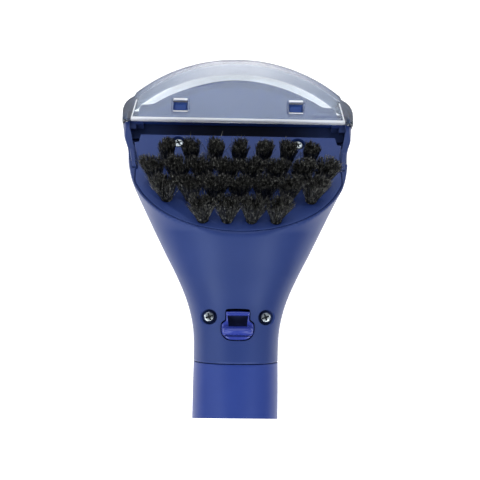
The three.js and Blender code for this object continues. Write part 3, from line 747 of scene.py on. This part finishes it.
def make_plate():
    plate = prism("brush_plate_moulding", plate_outline(0.0), -PLATE_THICK, 0.0, BRUSH, round_high=0.45)
    for name, x, t in TUFTS:
        combine(plate, bore("hole", 2.7, -3.3, local(BRUSH, x, t), 0.35, 28))
    for side in (-1, 1):
        spot = local(BRUSH, side * BRUSH_SCREW[0], BRUSH_SCREW[1])
        combine(plate, bore("seat", 3.6, -2.6, spot, 0.3, 48))
        combine(plate, bore("way", 1.6, -9.0, spot, 0.0, 24))
    return settle(plate, ["brush_plate"], "tool_body", "plate_plastic")


# ---- bristles -------------------------------------------------------------------------------------
FILAMENTS, BUNCHES, SIDES, SEGMENTS = 520, 30, 3, 5
GOLDEN_ANGLE = 2.39996
TURN = 6.28
ROOT_DEPTH = 2.6
ROOT_RADIUS = 2.45
EDGE_TUFT_X = 42
STRAY_SHARE = 0.05


def make_tuft(name, x0, t0, seed, spread, lean):
    """A bundle of crimped filaments that leave a round hole and splay into small spikes, like a worn brush.

    spread is how far the tips splay across and down the plate, lean how far a tuft at the plate's edge leans out.
    """
    rng = random.Random(seed)
    points, faces = [], []
    lean_x = x0 / EDGE_TUFT_X * lean + rng.gauss(0, 0.3)
    lean_t = rng.gauss(0, 0.3)
    bunches = []
    for k in range(BUNCHES):
        share = math.sqrt((k + 0.5) / BUNCHES)
        a = GOLDEN_ANGLE * k + rng.gauss(0, 0.2)
        bunches.append((share, a, rng.gauss(0, 0.35), rng.gauss(0, 0.3), rng.gauss(0, 0.75)))
    for i in range(FILAMENTS):
        share, a, off_x, off_t, rise = bunches[i % BUNCHES]
        share = min(1.0, max(0.0, share + rng.gauss(0, 0.1)))
        a += rng.gauss(0, 0.22)
        bx, bt = ROOT_RADIUS * share * math.cos(a), ROOT_RADIUS * share * math.sin(a)
        tip_x = lean_x + spread[0] * share * math.cos(a) + off_x + rng.gauss(0, 0.3)
        tip_t = lean_t + spread[1] * share * math.sin(a) + off_t + rng.gauss(0, 0.28)
        if rng.random() < STRAY_SHARE:
            tip_x += rng.gauss(0, 1.9)
            tip_t += rng.gauss(0, 1.7)
        length = TUFT_LENGTH + rise + rng.gauss(0, 0.3) - 1.5 * share**2
        bend = rng.uniform(0.9, 1.3)
        wave, beat, phase = rng.uniform(0.05, 0.3), rng.uniform(1.2, 2.6), rng.uniform(0, TURN)
        thick = rng.uniform(0.12, 0.17)
        turn = rng.uniform(0, TURN)
        first = len(points)
        for k in range(SEGMENTS + 1):
            s = k / SEGMENTS
            n = -ROOT_DEPTH + (length + ROOT_DEPTH) * s
            grow = max(0.0, n / length) ** bend
            kink = wave * math.sin(beat * TURN * s + phase) * s
            cx = x0 + bx + (tip_x - bx) * grow + kink
            ct = t0 + bt + (tip_t - bt) * grow + kink * 0.7
            radius = thick * (1 - 0.3 * s)
            for j in range(SIDES):
                b = turn + 2 * math.pi * j / SIDES
                points.append((cx + radius * math.cos(b), ct + radius * math.sin(b), n))
        for k in range(SEGMENTS):
            for j in range(SIDES):
                low, high = first + k * SIDES + j, first + k * SIDES + (j + 1) % SIDES
                faces.append((low, high, high + SIDES, low + SIDES))
        faces.append(tuple(first + j for j in reversed(range(SIDES))))
        faces.append(tuple(first + SEGMENTS * SIDES + j for j in range(SIDES)))
    obj = new_object(f"{name}_bristles", points, faces, BRUSH)
    return settle(obj, [name], "tool_body", "bristle", 80)


# ---- screws ---------------------------------------------------------------------------------------
HEAD_RADIUS = 2.65
CROSS_TURN = 0.35


def make_screw(name, node, length, matrix):
    """A pan-head cross screw with its head's seat at local z = 0."""
    profile = [
        (0.35, -length), (1.0, -length + 1.4), (1.15, -0.4), (1.15, 0.05),
        (HEAD_RADIUS - 0.1, 0.05), (HEAD_RADIUS, 0.15), (HEAD_RADIUS, 0.75),
    ]
    profile += arc_profile(HEAD_RADIUS - 0.95, 0.75, 0.95, 0, 80, 6)[1:]
    profile += [(0.9, 1.78), (0.02, 1.8)]
    screw = turned(name, profile, matrix, 56)
    for turn in (CROSS_TURN, CROSS_TURN + math.pi / 2):
        spin = matrix @ Matrix.Rotation(turn, 4, "Z")
        slot = [(-1.75, -0.36), (1.75, -0.36), (1.75, 0.36), (-1.75, 0.36)]
        # recess walls take the inside place: the dark steel there is painted shade
        combine(screw, mark(prism("recess", slot, 0.6, 3.0, spin), INSIDE))
    pit = turned("recess_pit", [(0.02, 0.3), (0.75, 1.0), (0.9, 3.0), (0.02, 3.0)], matrix, 24)
    combine(screw, mark(pit, INSIDE))
    return settle(screw, [node], "tool_body", "steel", 28, "steel_recess_painted_shade")


# ---- shells ---------------------------------------------------------------------------------------
NECK_SCREW = (13.4, 50.4, 12.6)
TIP_WIDTH, TIP_BACK, TIP_FRONT, TONGUE_WIDTH, TONGUE_END = 15.2, 39.8, 48.4, 11.0, 53.4


def tip_outline(grow):
    """Plan of the spray tip: a wide hood with a narrower tongue towards the nose."""
    wide = TIP_WIDTH / 2 + grow
    slim = TONGUE_WIDTH / 2 + grow
    top = TONGUE_END + (1.2 if grow > 0 else 0.0)
    step = TIP_FRONT + grow
    right = [
        (TIP_WIDTH * 0.2, TIP_BACK - grow), (wide - 2.6, TIP_BACK + 0.5 - grow), (wide - 0.5, TIP_BACK + 2.2),
        (wide, TIP_BACK + 4), (wide, step - 1.9), (wide - 0.35, step - 0.9), (wide - 1.1, step - 0.2),
        (slim + 0.45, step + 0.1), (slim, step + 0.6), (slim, step + 1.4), (slim, top - 0.9), (slim - 0.9, top),
    ]
    left = [(-x, y) for x, y in right][::-1]
    return ccw(right + left)


PANEL_ARC_HALF, PANEL_ARC_RISE, PANEL_APEX = 39.2, 11.6, 20.2


def panel_outline(reach):
    """Plan of the nose panel: straight along the lip, a step at each end, then a shallow arc, moved by reach."""
    right = [
        (MOUTH_HALF + 2, 0.4), (50.2, 0.4), (50.2, 5.0), (49.9, 5.5 + 0.6 * reach), (49.2, 5.8 + 0.9 * reach),
        (48.4, 6.0 + reach), (46.0, 6.05 + reach), (43.7, 6.2 + reach), (42.2, 6.7 + reach), (40.6, 7.6 + reach),
    ]
    for k in range(25):
        x = PANEL_ARC_HALF * (1 - k / 24)
        right.append((x, PANEL_APEX - PANEL_ARC_RISE * (x / PANEL_ARC_HALF) ** 1.93 + reach))
    left = [(-x, y) for x, y in right if x > 0][::-1]
    return ccw(right + left)


# The skirt slopes down from the panel's edge; each level is (height, reach).
SKIRT_LEVELS = [
    (-7.2, 4.2), (-6.9, 4.55), (-6.5, 4.6), (-6.2, 4.45), (-5.0, 2.2), (-4.7, 1.5), (-4.6, 0.9), (-4.5, 0.35),
    (-4.0, 0.15), (-3.7, 0.05), (PANEL_TOP, -0.3),
]
SHADOW_LINE = (PANEL_TOP - 0.9, PANEL_TOP - 0.05)
WORLD_TO_NOSE = (Matrix.Translation(ORIGIN) @ Matrix.Scale(MM, 4) @ NOSE).inverted()


def make_panel():
    """The nose panel with the sloping skirt round its front."""
    points = []
    for z, reach in SKIRT_LEVELS:
        points += [(x, max(y, 0.3), z) for x, y in panel_outline(reach)]
    panel = new_object("panel", points, ring_faces(len(SKIRT_LEVELS), len(panel_outline(0))), NOSE)
    # Sloping faces take the third place, the darker skirt as painted shade; the band at SHADOW_LINE takes the
    # inside place as a painted shadow; the panel's top takes the fourth place, the lighter panel navy as painted
    # light.
    for polygon in panel.data.polygons:
        if len(polygon.vertices) == 4:
            height = (WORLD_TO_NOSE @ polygon.center).z
            polygon.material_index = INSIDE if SHADOW_LINE[0] < height < SHADOW_LINE[1] else THIRD
        else:
            polygon.material_index = FOURTH
    return panel


def sided(outline, side):
    return [(side * x, y) for x, y in outline]


def rectangle(x, y, half_x, low_y, high_y):
    """The corners of a rectangle about x, from low_y to high_y beyond y."""
    return [
        (x - half_x, y + low_y), (x + half_x, y + low_y), (x + half_x, y + high_y), (x - half_x, y + high_y),
    ]


def make_upper_shell():
    """The brush side of the body with its pocket, side slots and mouth cut out."""
    shell = shell_half("upper_shell_moulding", True)
    pocket = PLATE_THICK + GAP
    combine(shell, prism("pocket", plate_outline(0.22), -pocket, 0.0, BRUSH, flare=0.3))
    for side in (-1, 1):
        # slot walls take the inside place: painted shade in the side slots
        slot = prism("slot", sided(SLOT_OUTLINE, side), -11, 0.0, BRUSH, flare=0.25)
        combine(shell, mark(slot, INSIDE))
    half = MOUTH_HALF
    combine(shell, block("mouth", (-half, 0.02, -60), (half, 60, 30), BRUSH))
    combine(shell, block("nose_clear", (-200, -GAP, -60), (200, 60, 60), NOSE))
    return shell


ARM_THICK = 3.2
ARM_REAR_INNER = 51


def add_nose(shell):
    """Joins on the arms that carry the nose panel, the panel, and the lugs in its snap windows."""
    outer = SHOULDER_HALF - CLEAR_WALL - 0.6
    low = PANEL_TOP - ARM_THICK
    for side in (-1, 1):
        x0, x1 = sorted((side * ARM_REAR_INNER, side * outer))
        # the rear arm takes the inside place: painted shade in the side recess
        rear = block("arm_rear", (x0, -3.4, low), (x1, -GAP, PANEL_TOP), NOSE, 0.3)
        combine(shell, mark(rear, INSIDE), "UNION")
        x0, x1 = sorted((side * MOUTH_HALF, side * outer))
        combine(shell, block("arm", (x0, -GAP - 0.5, low), (x1, 5.6, PANEL_TOP), NOSE), "UNION")
    combine(shell, make_panel(), "UNION")
    for side in (-1, 1):
        outline = rectangle(side * LUG_X, LUG_Y, 3.05, -1.95, 1.95)
        # The lugs take the fourth place, the lighter panel navy, as a painted highlight.
        lug = prism("lug", outline, PANEL_TOP - 0.5, PANEL_TOP + 1.15, NOSE, round_high=0.35)
        combine(shell, mark(lug, FOURTH), "UNION")
    return shell


def add_shell_details(shell):
    """Rails beside the plate, screw towers and columns, and the way for the spray tip."""
    turn = BRUSH.inverted().to_3x3()
    for side in (-1, 1):
        # trenches and rail sides take the inside place: painted shade as dark lines beside the rails
        combine(shell, mark(prism("trench", sided(TRENCH, side), -1.2, 0.0, BRUSH, flare=0.1), INSIDE))
        rail = prism("rail", sided(RAIL, side), -1.8, 0.9, BRUSH, round_high=0.3)
        for polygon in rail.data.polygons:
            if abs((turn @ polygon.normal).z) < 0.2:
                polygon.material_index = INSIDE
        combine(shell, rail, "UNION")
        spot = local(BRUSH, side * BRUSH_SCREW[0], BRUSH_SCREW[1])
        combine(shell, turned("tower", [(3.4, -11.5), (3.4, -5.4)], spot, 40), "UNION")
        combine(shell, turned("tower_way", [(1.6, -10.5), (1.6, 6)], spot, 24))
        spot = local(PLAIN, side * NECK_SCREW[0], NECK_SCREW[1])
        combine(shell, turned("column", [(4.4, 0.15), (4.4, 14)], spot, 40), "UNION")
        combine(shell, turned("seat", [(3.7, NECK_SCREW[2]), (3.7, 40)], spot, 56))
        combine(shell, turned("column_way", [(1.6, -5), (1.6, 40)], spot, 24))
    combine(shell, prism("tip_way", soften(tip_outline(0.45), 2), 9.5, 40))
    return shell


TONGUE_HALF, TONGUE_TOP = 54, -10.8
SEAL_HALF = 53.3


def make_lower_shell():
    """The back of the body, with the tongue that closes the nozzle's back and carries its seal."""
    shell = shell_half("lower_shell_moulding", False)
    combine(shell, block("nose_clear", (-200, -2 * GAP, -60), (200, 60, 60), NOSE))
    root = block("tongue_root", (-TONGUE_HALF, -6, -13.2), (TONGUE_HALF, -2 * GAP, TONGUE_TOP), NOSE)
    # tongue root and tongue take the inside place: painted shade behind the nozzle
    combine(shell, mark(root, INSIDE), "UNION")
    tongue = block("tongue", (-TONGUE_HALF, -1.6, -12.6), (TONGUE_HALF, 5, TONGUE_TOP), NOSE, 0.4)
    combine(shell, mark(tongue, INSIDE), "UNION")
    combine(shell, block("groove", (-SEAL_HALF, 1.1, -13.6), (SEAL_HALF, 4.1, -11.6), NOSE))
    return shell


upper = add_shell_details(add_nose(make_upper_shell()))
settle(upper, ["upper_shell"], "tool_body", "shell_plastic", 30, "inside", "skirt", "panel")
settle(make_lower_shell(), ["lower_shell"], "tool_body", "shell_plastic", 30, "inside")
make_plate()
for index, (tuft, x, t) in enumerate(TUFTS):
    in_front = "front" in tuft
    make_tuft(tuft, x, t, 100 + index, (4.4, 4.2) if in_front else (7.0, 5.0), 0.8 if in_front else 2.0)
for label, side in (("left", -1), ("right", 1)):
    seat = local(BRUSH, side * BRUSH_SCREW[0], BRUSH_SCREW[1], -2.3)
    make_screw(f"brush_screw_{label}_turned", f"brush_screw_{label}", 7.4, seat)
    seat = local(PLAIN, side * NECK_SCREW[0], NECK_SCREW[1], NECK_SCREW[2] + GAP)
    make_screw(f"neck_screw_{label}_turned", f"neck_screw_{label}", 20.6, seat)


# ---- clear nozzle ---------------------------------------------------------------------------------
def nose_outline(inset, back, steps=36):
    """Plan of the clear nozzle: shoulders, then one arc round the nose, all moved in by inset."""
    half = SHOULDER_HALF - inset
    right = [(half, back), (half, 4.0), (half - 0.15, 6.0), (half - 0.7, 8.0), (half - 1.7, 9.8),
             (half - 3.1, 11.2), (half - 4.6, 12.2), (52.2 - inset, 12.9)]
    radius = NOSE_RADIUS - inset
    centre = NOSE_REACH - NOSE_RADIUS
    start = math.asin((51.4 - inset) / radius)
    for i in range(steps + 1):
        a = start * (1 - i / steps)
        right.append((0.0 if i == steps else radius * math.sin(a), centre + radius * math.cos(a)))
    left = [(-x, y) for x, y in right if x > 0][::-1]
    return ccw(right + left)


def near_outline(x, y, outline):
    """Distance from a point to a closed outline, its straight back edge at y = 0 left out."""
    pts = np.array(outline)
    ends = np.roll(pts, -1, axis=0)
    run = ends - pts
    along_run = (x - pts[:, 0]) * run[:, 0] + (y - pts[:, 1]) * run[:, 1]
    share = np.clip(along_run / (run**2).sum(axis=1), 0, 1)
    gap = np.hypot(pts[:, 0] + run[:, 0] * share - x, pts[:, 1] + run[:, 1] * share - y)
    return min(g for g, p, e in zip(gap, pts, ends) if not (abs(p[1]) < 0.01 and abs(e[1]) < 0.01))


SHOULDER_PAD = [
    (53.4, 0.3), (57.4, 0.3), (57.4, 4.0), (57.2, 6.0), (56.7, 7.7), (55.8, 9.3), (54.6, 10.6), (53.0, 11.6),
    (51.2, 12.4), (50.7, 11.4),
]
BEAD = [(53.0, 0.8), (53.7, 0.8), (51.2, 10.9), (50.6, 10.7)]
LIP_HALF, LIP_DEPTH, LIP_HEIGHT = 53.6, 1.55, 1.15
WINDOW_HALF = (3.55, 2.45)


def add_snap_window(outer, x):
    """A window for a snap lug, with its frame, the bar before it and the sill behind it."""
    half_x, half_y = WINDOW_HALF
    frame_outline = rectangle(x, LUG_Y, half_x + 1, -half_y - 1, half_y + 1)
    snap_frame = prism("snap_frame", resample(frame_outline, 1.0), -1.0, 0.45, NOSE, round_high=0.35)
    combine(outer, snap_frame, "UNION")
    bar = resample(rectangle(x, LUG_Y, 3.5, 2.5, 3.9), 1.2)
    # bar and sill take the third place, the frosted lip finish, as painted highlights
    combine(outer, mark(prism("snap_bar", bar, -1.0, 0.9, NOSE, round_high=0.5), THIRD), "UNION")
    sill = resample(rectangle(x, LUG_Y, 3.6, -3.4, -2.8), 1.2)
    combine(outer, mark(prism("snap_sill", sill, -1.0, 0.7, NOSE, round_high=0.25), THIRD), "UNION")
    hole = rectangle(x, LUG_Y, half_x, -half_y, half_y)
    combine(outer, prism("snap_way", hole, -4, 0.45, NOSE, flare=0.3))


def make_clear_nozzle():
    """The clear suction nozzle: a hollow moulding with rim, lip, shoulders, beads and snap windows."""
    outer = prism("clear_nozzle_moulding", nose_outline(0.0, 0.0), -NOSE_THICK, 0.0, NOSE, 1.6, 0.7)
    inner = prism("hollow", nose_outline(CLEAR_WALL, -3), -NOSE_THICK + CLEAR_WALL, -CLEAR_WALL, NOSE, 0.8, 0.5)
    combine(outer, inner)
    rim = prism("rim", nose_outline(0.35, 0.3), -1.2, 0.14, NOSE, 0.0, 0.12)
    combine(rim, prism("rim_inner", nose_outline(2.5, -3), -3, 3, NOSE))
    # rim faces take the inside place, the clear wall's painted shade
    combine(outer, mark(rim, INSIDE), "UNION")
    lip = resample(rectangle(0, 0, LIP_HALF, 0.0, LIP_DEPTH), 2.0)
    combine(outer, mark(prism("lip", lip, -CLEAR_WALL, LIP_HEIGHT, NOSE, 0.0, 0.7, 5), THIRD), "UNION")
    for side in (-1, 1):
        # shoulder pads take the inside place, the clear wall's painted shade
        outline = resample(sided(SHOULDER_PAD, side), 1.0)
        combine(outer, mark(prism("shoulder_pad", outline, -1.2, 0.2, NOSE, 0.0, 0.15), INSIDE), "UNION")
        # beads take the third place, the frosted lip finish, as a painted highlight
        outline = resample(sided(BEAD, side), 1.0)
        combine(outer, mark(prism("bead", outline, -1.0, 0.4, NOSE, 0.0, 0.25), THIRD), "UNION")
    for side in (-1, 1):
        add_snap_window(outer, side * LUG_X)
    # faces of the outer wall near the outline take the inside place, the clear wall's painted shade
    outline = nose_outline(0.0, 0.0)
    for polygon in outer.data.polygons:
        if polygon.material_index == OUTSIDE:
            x, y, z = WORLD_TO_NOSE @ polygon.center
            if near_outline(x, y, outline) < CLEAR_WALL + 0.1 and z < -0.75:
                polygon.material_index = INSIDE
    return settle(outer, ["clear_nozzle"], "clear_nozzle", "clear_plastic", 30, "clear_wall_painted_shade", "frosted_lip_and_highlights")


make_clear_nozzle()


# ---- collar ---------------------------------------------------------------------------------------
def oval_rings(name, rows, count=160):
    """A solid through oval rings along y; each row is (y, half width, half height)."""
    points = []
    for y, half_width, half_height in rows:
        for i in range(count):
            a = 2 * math.pi * i / count
            c, s = math.cos(a), math.sin(a)
            points.append((
                -math.copysign(half_width * abs(c) ** (2 / POWER), c), y,
                math.copysign(half_height * abs(s) ** (2 / POWER), s),
            ))
    return new_object(name, points, ring_faces(len(rows), count))


MOUTH_SLANT = math.radians(8.4)


COLLAR_SKIN = [
    (-6, 20.9, 19.1), (0, 20.8, 19.1), (7, 20.75, 19.08), (14, 20.7, 19.05), (21, 20.55, 19.02),
    (27.0, 20.42, 19.0), (27.7, 20.4, 19.0), (28.0, 20.28, 18.88), (28.1, 20.0, 18.6),
]


def make_collar():
    """The connector collar with its spigot, grip socket, duct, inlet bracket and latch slot."""
    collar = oval_rings("connector_collar_moulding", COLLAR_SKIN)
    combine(collar, oval_rings("spigot", [(24.4, 17.7, 16.3), (SPIGOT_END, 17.7, 16.3)]), "UNION")
    combine(collar, oval_rings("socket", [(-12, 17, 15.4), (24, 17, 15.4)]))
    combine(collar, oval_rings("duct", [(20, 15.3, 13.9), (44, 15.3, 13.9)]))
    line = along((0, 0, 6.0), (0, 1, 0))
    combine(collar, turned("bracket", [(5.6, 13.5), (5.6, 19.5)], line, 48), "UNION")
    combine(collar, block("web", (-3.4, 13.5, 9.0), (3.4, 19.5, 16.4)), "UNION")
    combine(collar, turned("stem_way", [(4.0, 10), (4.0, 40)], line, 48))
    cut = Matrix.Rotation(-MOUTH_SLANT, 4, "X")
    combine(collar, block("mouth_cut", (-200, -200, -200), (200, 0, 200), cut))
    combine(collar, block("latch_way", (-4.5, 1.7, -40), (4.5, 19.5, -12)))
    return settle(collar, ["connector_collar"], "tool_body", "collar_plastic", 30)


make_collar()


# ---- spray tip ------------------------------------------------------------------------------------
def barrel(name, middle_y, half_x, half_y, base_z, crown_z, count=26, around=20):
    """The rounded hood across the tip: a half cylinder along x with drawn-in ends."""
    points = []
    for k in range(count + 1):
        x = half_x * math.sin(math.pi / 2 * (2 * k / count - 1))
        size = max(0.12, (1 - abs(x / half_x) ** 3.2) ** (1 / 2.6))
        for i in range(around):
            a = 2 * math.pi * i / around
            y = middle_y + half_y * (0.5 + 0.5 * size) * math.cos(a)
            lift = (crown_z - base_z) * size if math.sin(a) > 0 else 2.0
            points.append((x, y, base_z + lift * math.sin(a)))
    return new_object(name, points, ring_faces(count + 1, around, flip=True))


TIP_TOP = 30


def make_spray_tip():
    """The hooded fan jet, with its pit, groove, stem and jet bore."""
    plan = soften(tip_outline(0.0), 3)
    tip = prism("spray_tip_moulding", plan, 12.8, 19.6, PLAIN, 0.0, 0.9, 4)
    combine(tip, barrel("hood", 44.3, 7.45, 2.35, 19.0, 23.6), "UNION")
    bar = resample(rectangle(0, 0, 5.6, 51.4, 53.2), 1.5)
    combine(tip, prism("bar", bar, 15, 20.2, PLAIN, 0.0, 0.6), "UNION")
    pit = [(-4.9, 51.3), (-4.3, 46.4), (4.3, 46.4), (4.9, 51.3)]
    # pit and groove walls take the inside place: the darker blue there is painted shade
    combine(tip, mark(prism("pit", pit, 14.4, TIP_TOP), INSIDE))
    groove = rectangle(0, 0, 8, 41.5, 41.95)
    combine(tip, mark(prism("groove", groove, 18.7, TIP_TOP), INSIDE))
    up = along((0, 45.2, 0), (0, 0, 1))
    stem = turned("stem", [(2.4, 7.6), (2.4, 9.2), (1.6, 9.2), (1.6, 10.8), (2.4, 10.8), (2.4, 13.4)], up, 32)
    combine(tip, stem, "UNION")
    combine(tip, turned("jet", [(0.8, 2), (0.8, 18)], up, 20))
    return settle(tip, ["spray_tip"], "spray_tip", "tip_plastic", 38, "tip_pit_painted_shade")


make_spray_tip()

# ---- pieces kept from the CAD ---------------------------------------------------------------------
KEPT = {
    "nozzle_seal": "rubber",
    "spray_tip_o_ring": "rubber",
    "collar_seal": "rubber",
    "spray_socket": "white_plastic",
    "solution_tube": "tube",
    "solution_inlet": "white_plastic",
    "valve_poppet": "white_plastic",
    "valve_spring": "steel",
    "latch_lever": "collar_plastic",
    "latch_pin": "steel",
    "latch_spring": "steel",
}
for node, material in KEPT.items():
    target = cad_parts[node]
    target.data.materials.clear()
    target.data.materials.append(MATS[material])


# ---- stage ----------------------------------------------------------------------------------------
def pale_floor(name):
    """Matt studio paper, lit a little from within so that it stays pale."""
    mat, nodes, links, shader = base_material(name)
    grain = add_noise(nodes, links, 6.0, 3.0)
    stops = [(0.3, (0.93, 0.93, 0.93, 1)), (0.7, (0.95, 0.95, 0.95, 1))]
    paper = add_ramp(nodes, links, grain.outputs["Fac"], stops)
    links.new(paper.outputs["Color"], shader.inputs["Base Color"])
    shader.inputs["Roughness"].default_value = 0.9
    shader.inputs["Emission Color"].default_value = (1, 1, 1, 1)
    shader.inputs["Emission Strength"].default_value = 0.42
    return mat


FLOOR_HALF = 3
floor_mesh = bpy.data.meshes.new("floor")
corners = [(-FLOOR_HALF, -FLOOR_HALF, 0), (FLOOR_HALF, -FLOOR_HALF, 0),
           (FLOOR_HALF, FLOOR_HALF, 0), (-FLOOR_HALF, FLOOR_HALF, 0)]
floor_mesh.from_pydata(corners, [], [(0, 1, 2, 3)])
floor = bpy.data.objects.new("floor", floor_mesh)
bpy.context.scene.collection.objects.link(floor)
floor_mesh.materials.append(pale_floor("pale_floor"))

world = bpy.data.worlds.new("studio")
bpy.context.scene.world = world
world.use_nodes = True
world.node_tree.nodes["Background"].inputs["Color"].default_value = (0.92, 0.95, 1.0, 1)
world.node_tree.nodes["Background"].inputs["Strength"].default_value = 0.22

TARGET = Vector((0, 0, 0.03))


def soft_light(name, position, size, power):
    data = bpy.data.lights.new(name, "AREA")
    data.shape = "RECTANGLE"
    data.size, data.size_y = size
    data.energy = power
    light = bpy.data.objects.new(name, data)
    light.location = position
    light.rotation_euler = (TARGET - Vector(position)).to_track_quat("-Z", "Y").to_euler()
    bpy.context.scene.collection.objects.link(light)


soft_light("nose_softbox", (0.0, 0.75, 0.85), (1.0, 0.5), 5)
soft_light("nose_low", (0.0, 0.95, 0.3), (1.2, 0.25), 2.5)
soft_light("left_softbox", (-0.95, 0.05, 0.75), (0.5, 1.1), 6)
soft_light("right_softbox", (0.95, 0.1, 0.7), (0.45, 1.1), 3)
soft_light("neck_left", (-0.8, -1.1, 0.45), (1.0, 0.8), 6.5)
soft_light("neck_right", (0.8, -1.1, 0.45), (0.9, 0.8), 3.5)
soft_light("flare_left", (-0.4, -0.55, 0.9), (0.5, 0.3), 5)
soft_light("flare_right", (0.4, -0.55, 0.9), (0.5, 0.3), 5)

# ---- camera ---------------------------------------------------------------------------------------
CAMERA_DISTANCE = 0.6
VIEW_WIDTH = 0.23376
SENSOR_WIDTH = 36
CAMERA_TILT = math.radians(2.2)
CAMERA_ROLL = math.radians(0.9)
VIEW_CENTRE = Vector((1.2 * MM, 87.0 * MM, 0)) + ORIGIN
camera_data = bpy.data.cameras.new("camera")
camera_data.sensor_width = SENSOR_WIDTH
camera_data.lens = CAMERA_DISTANCE / VIEW_WIDTH * SENSOR_WIDTH
camera = bpy.data.objects.new("camera", camera_data)
camera.matrix_world = (
    Matrix.Translation(VIEW_CENTRE)
    @ Matrix.Rotation(-CAMERA_TILT, 4, "Y")
    @ Matrix.Rotation(CAMERA_ROLL, 4, "Z")
    @ Matrix.Translation((0, 0, CAMERA_DISTANCE))
)
bpy.context.scene.collection.objects.link(camera)
bpy.context.scene.camera = camera
bpy.context.scene.view_settings.view_transform = "Standard"
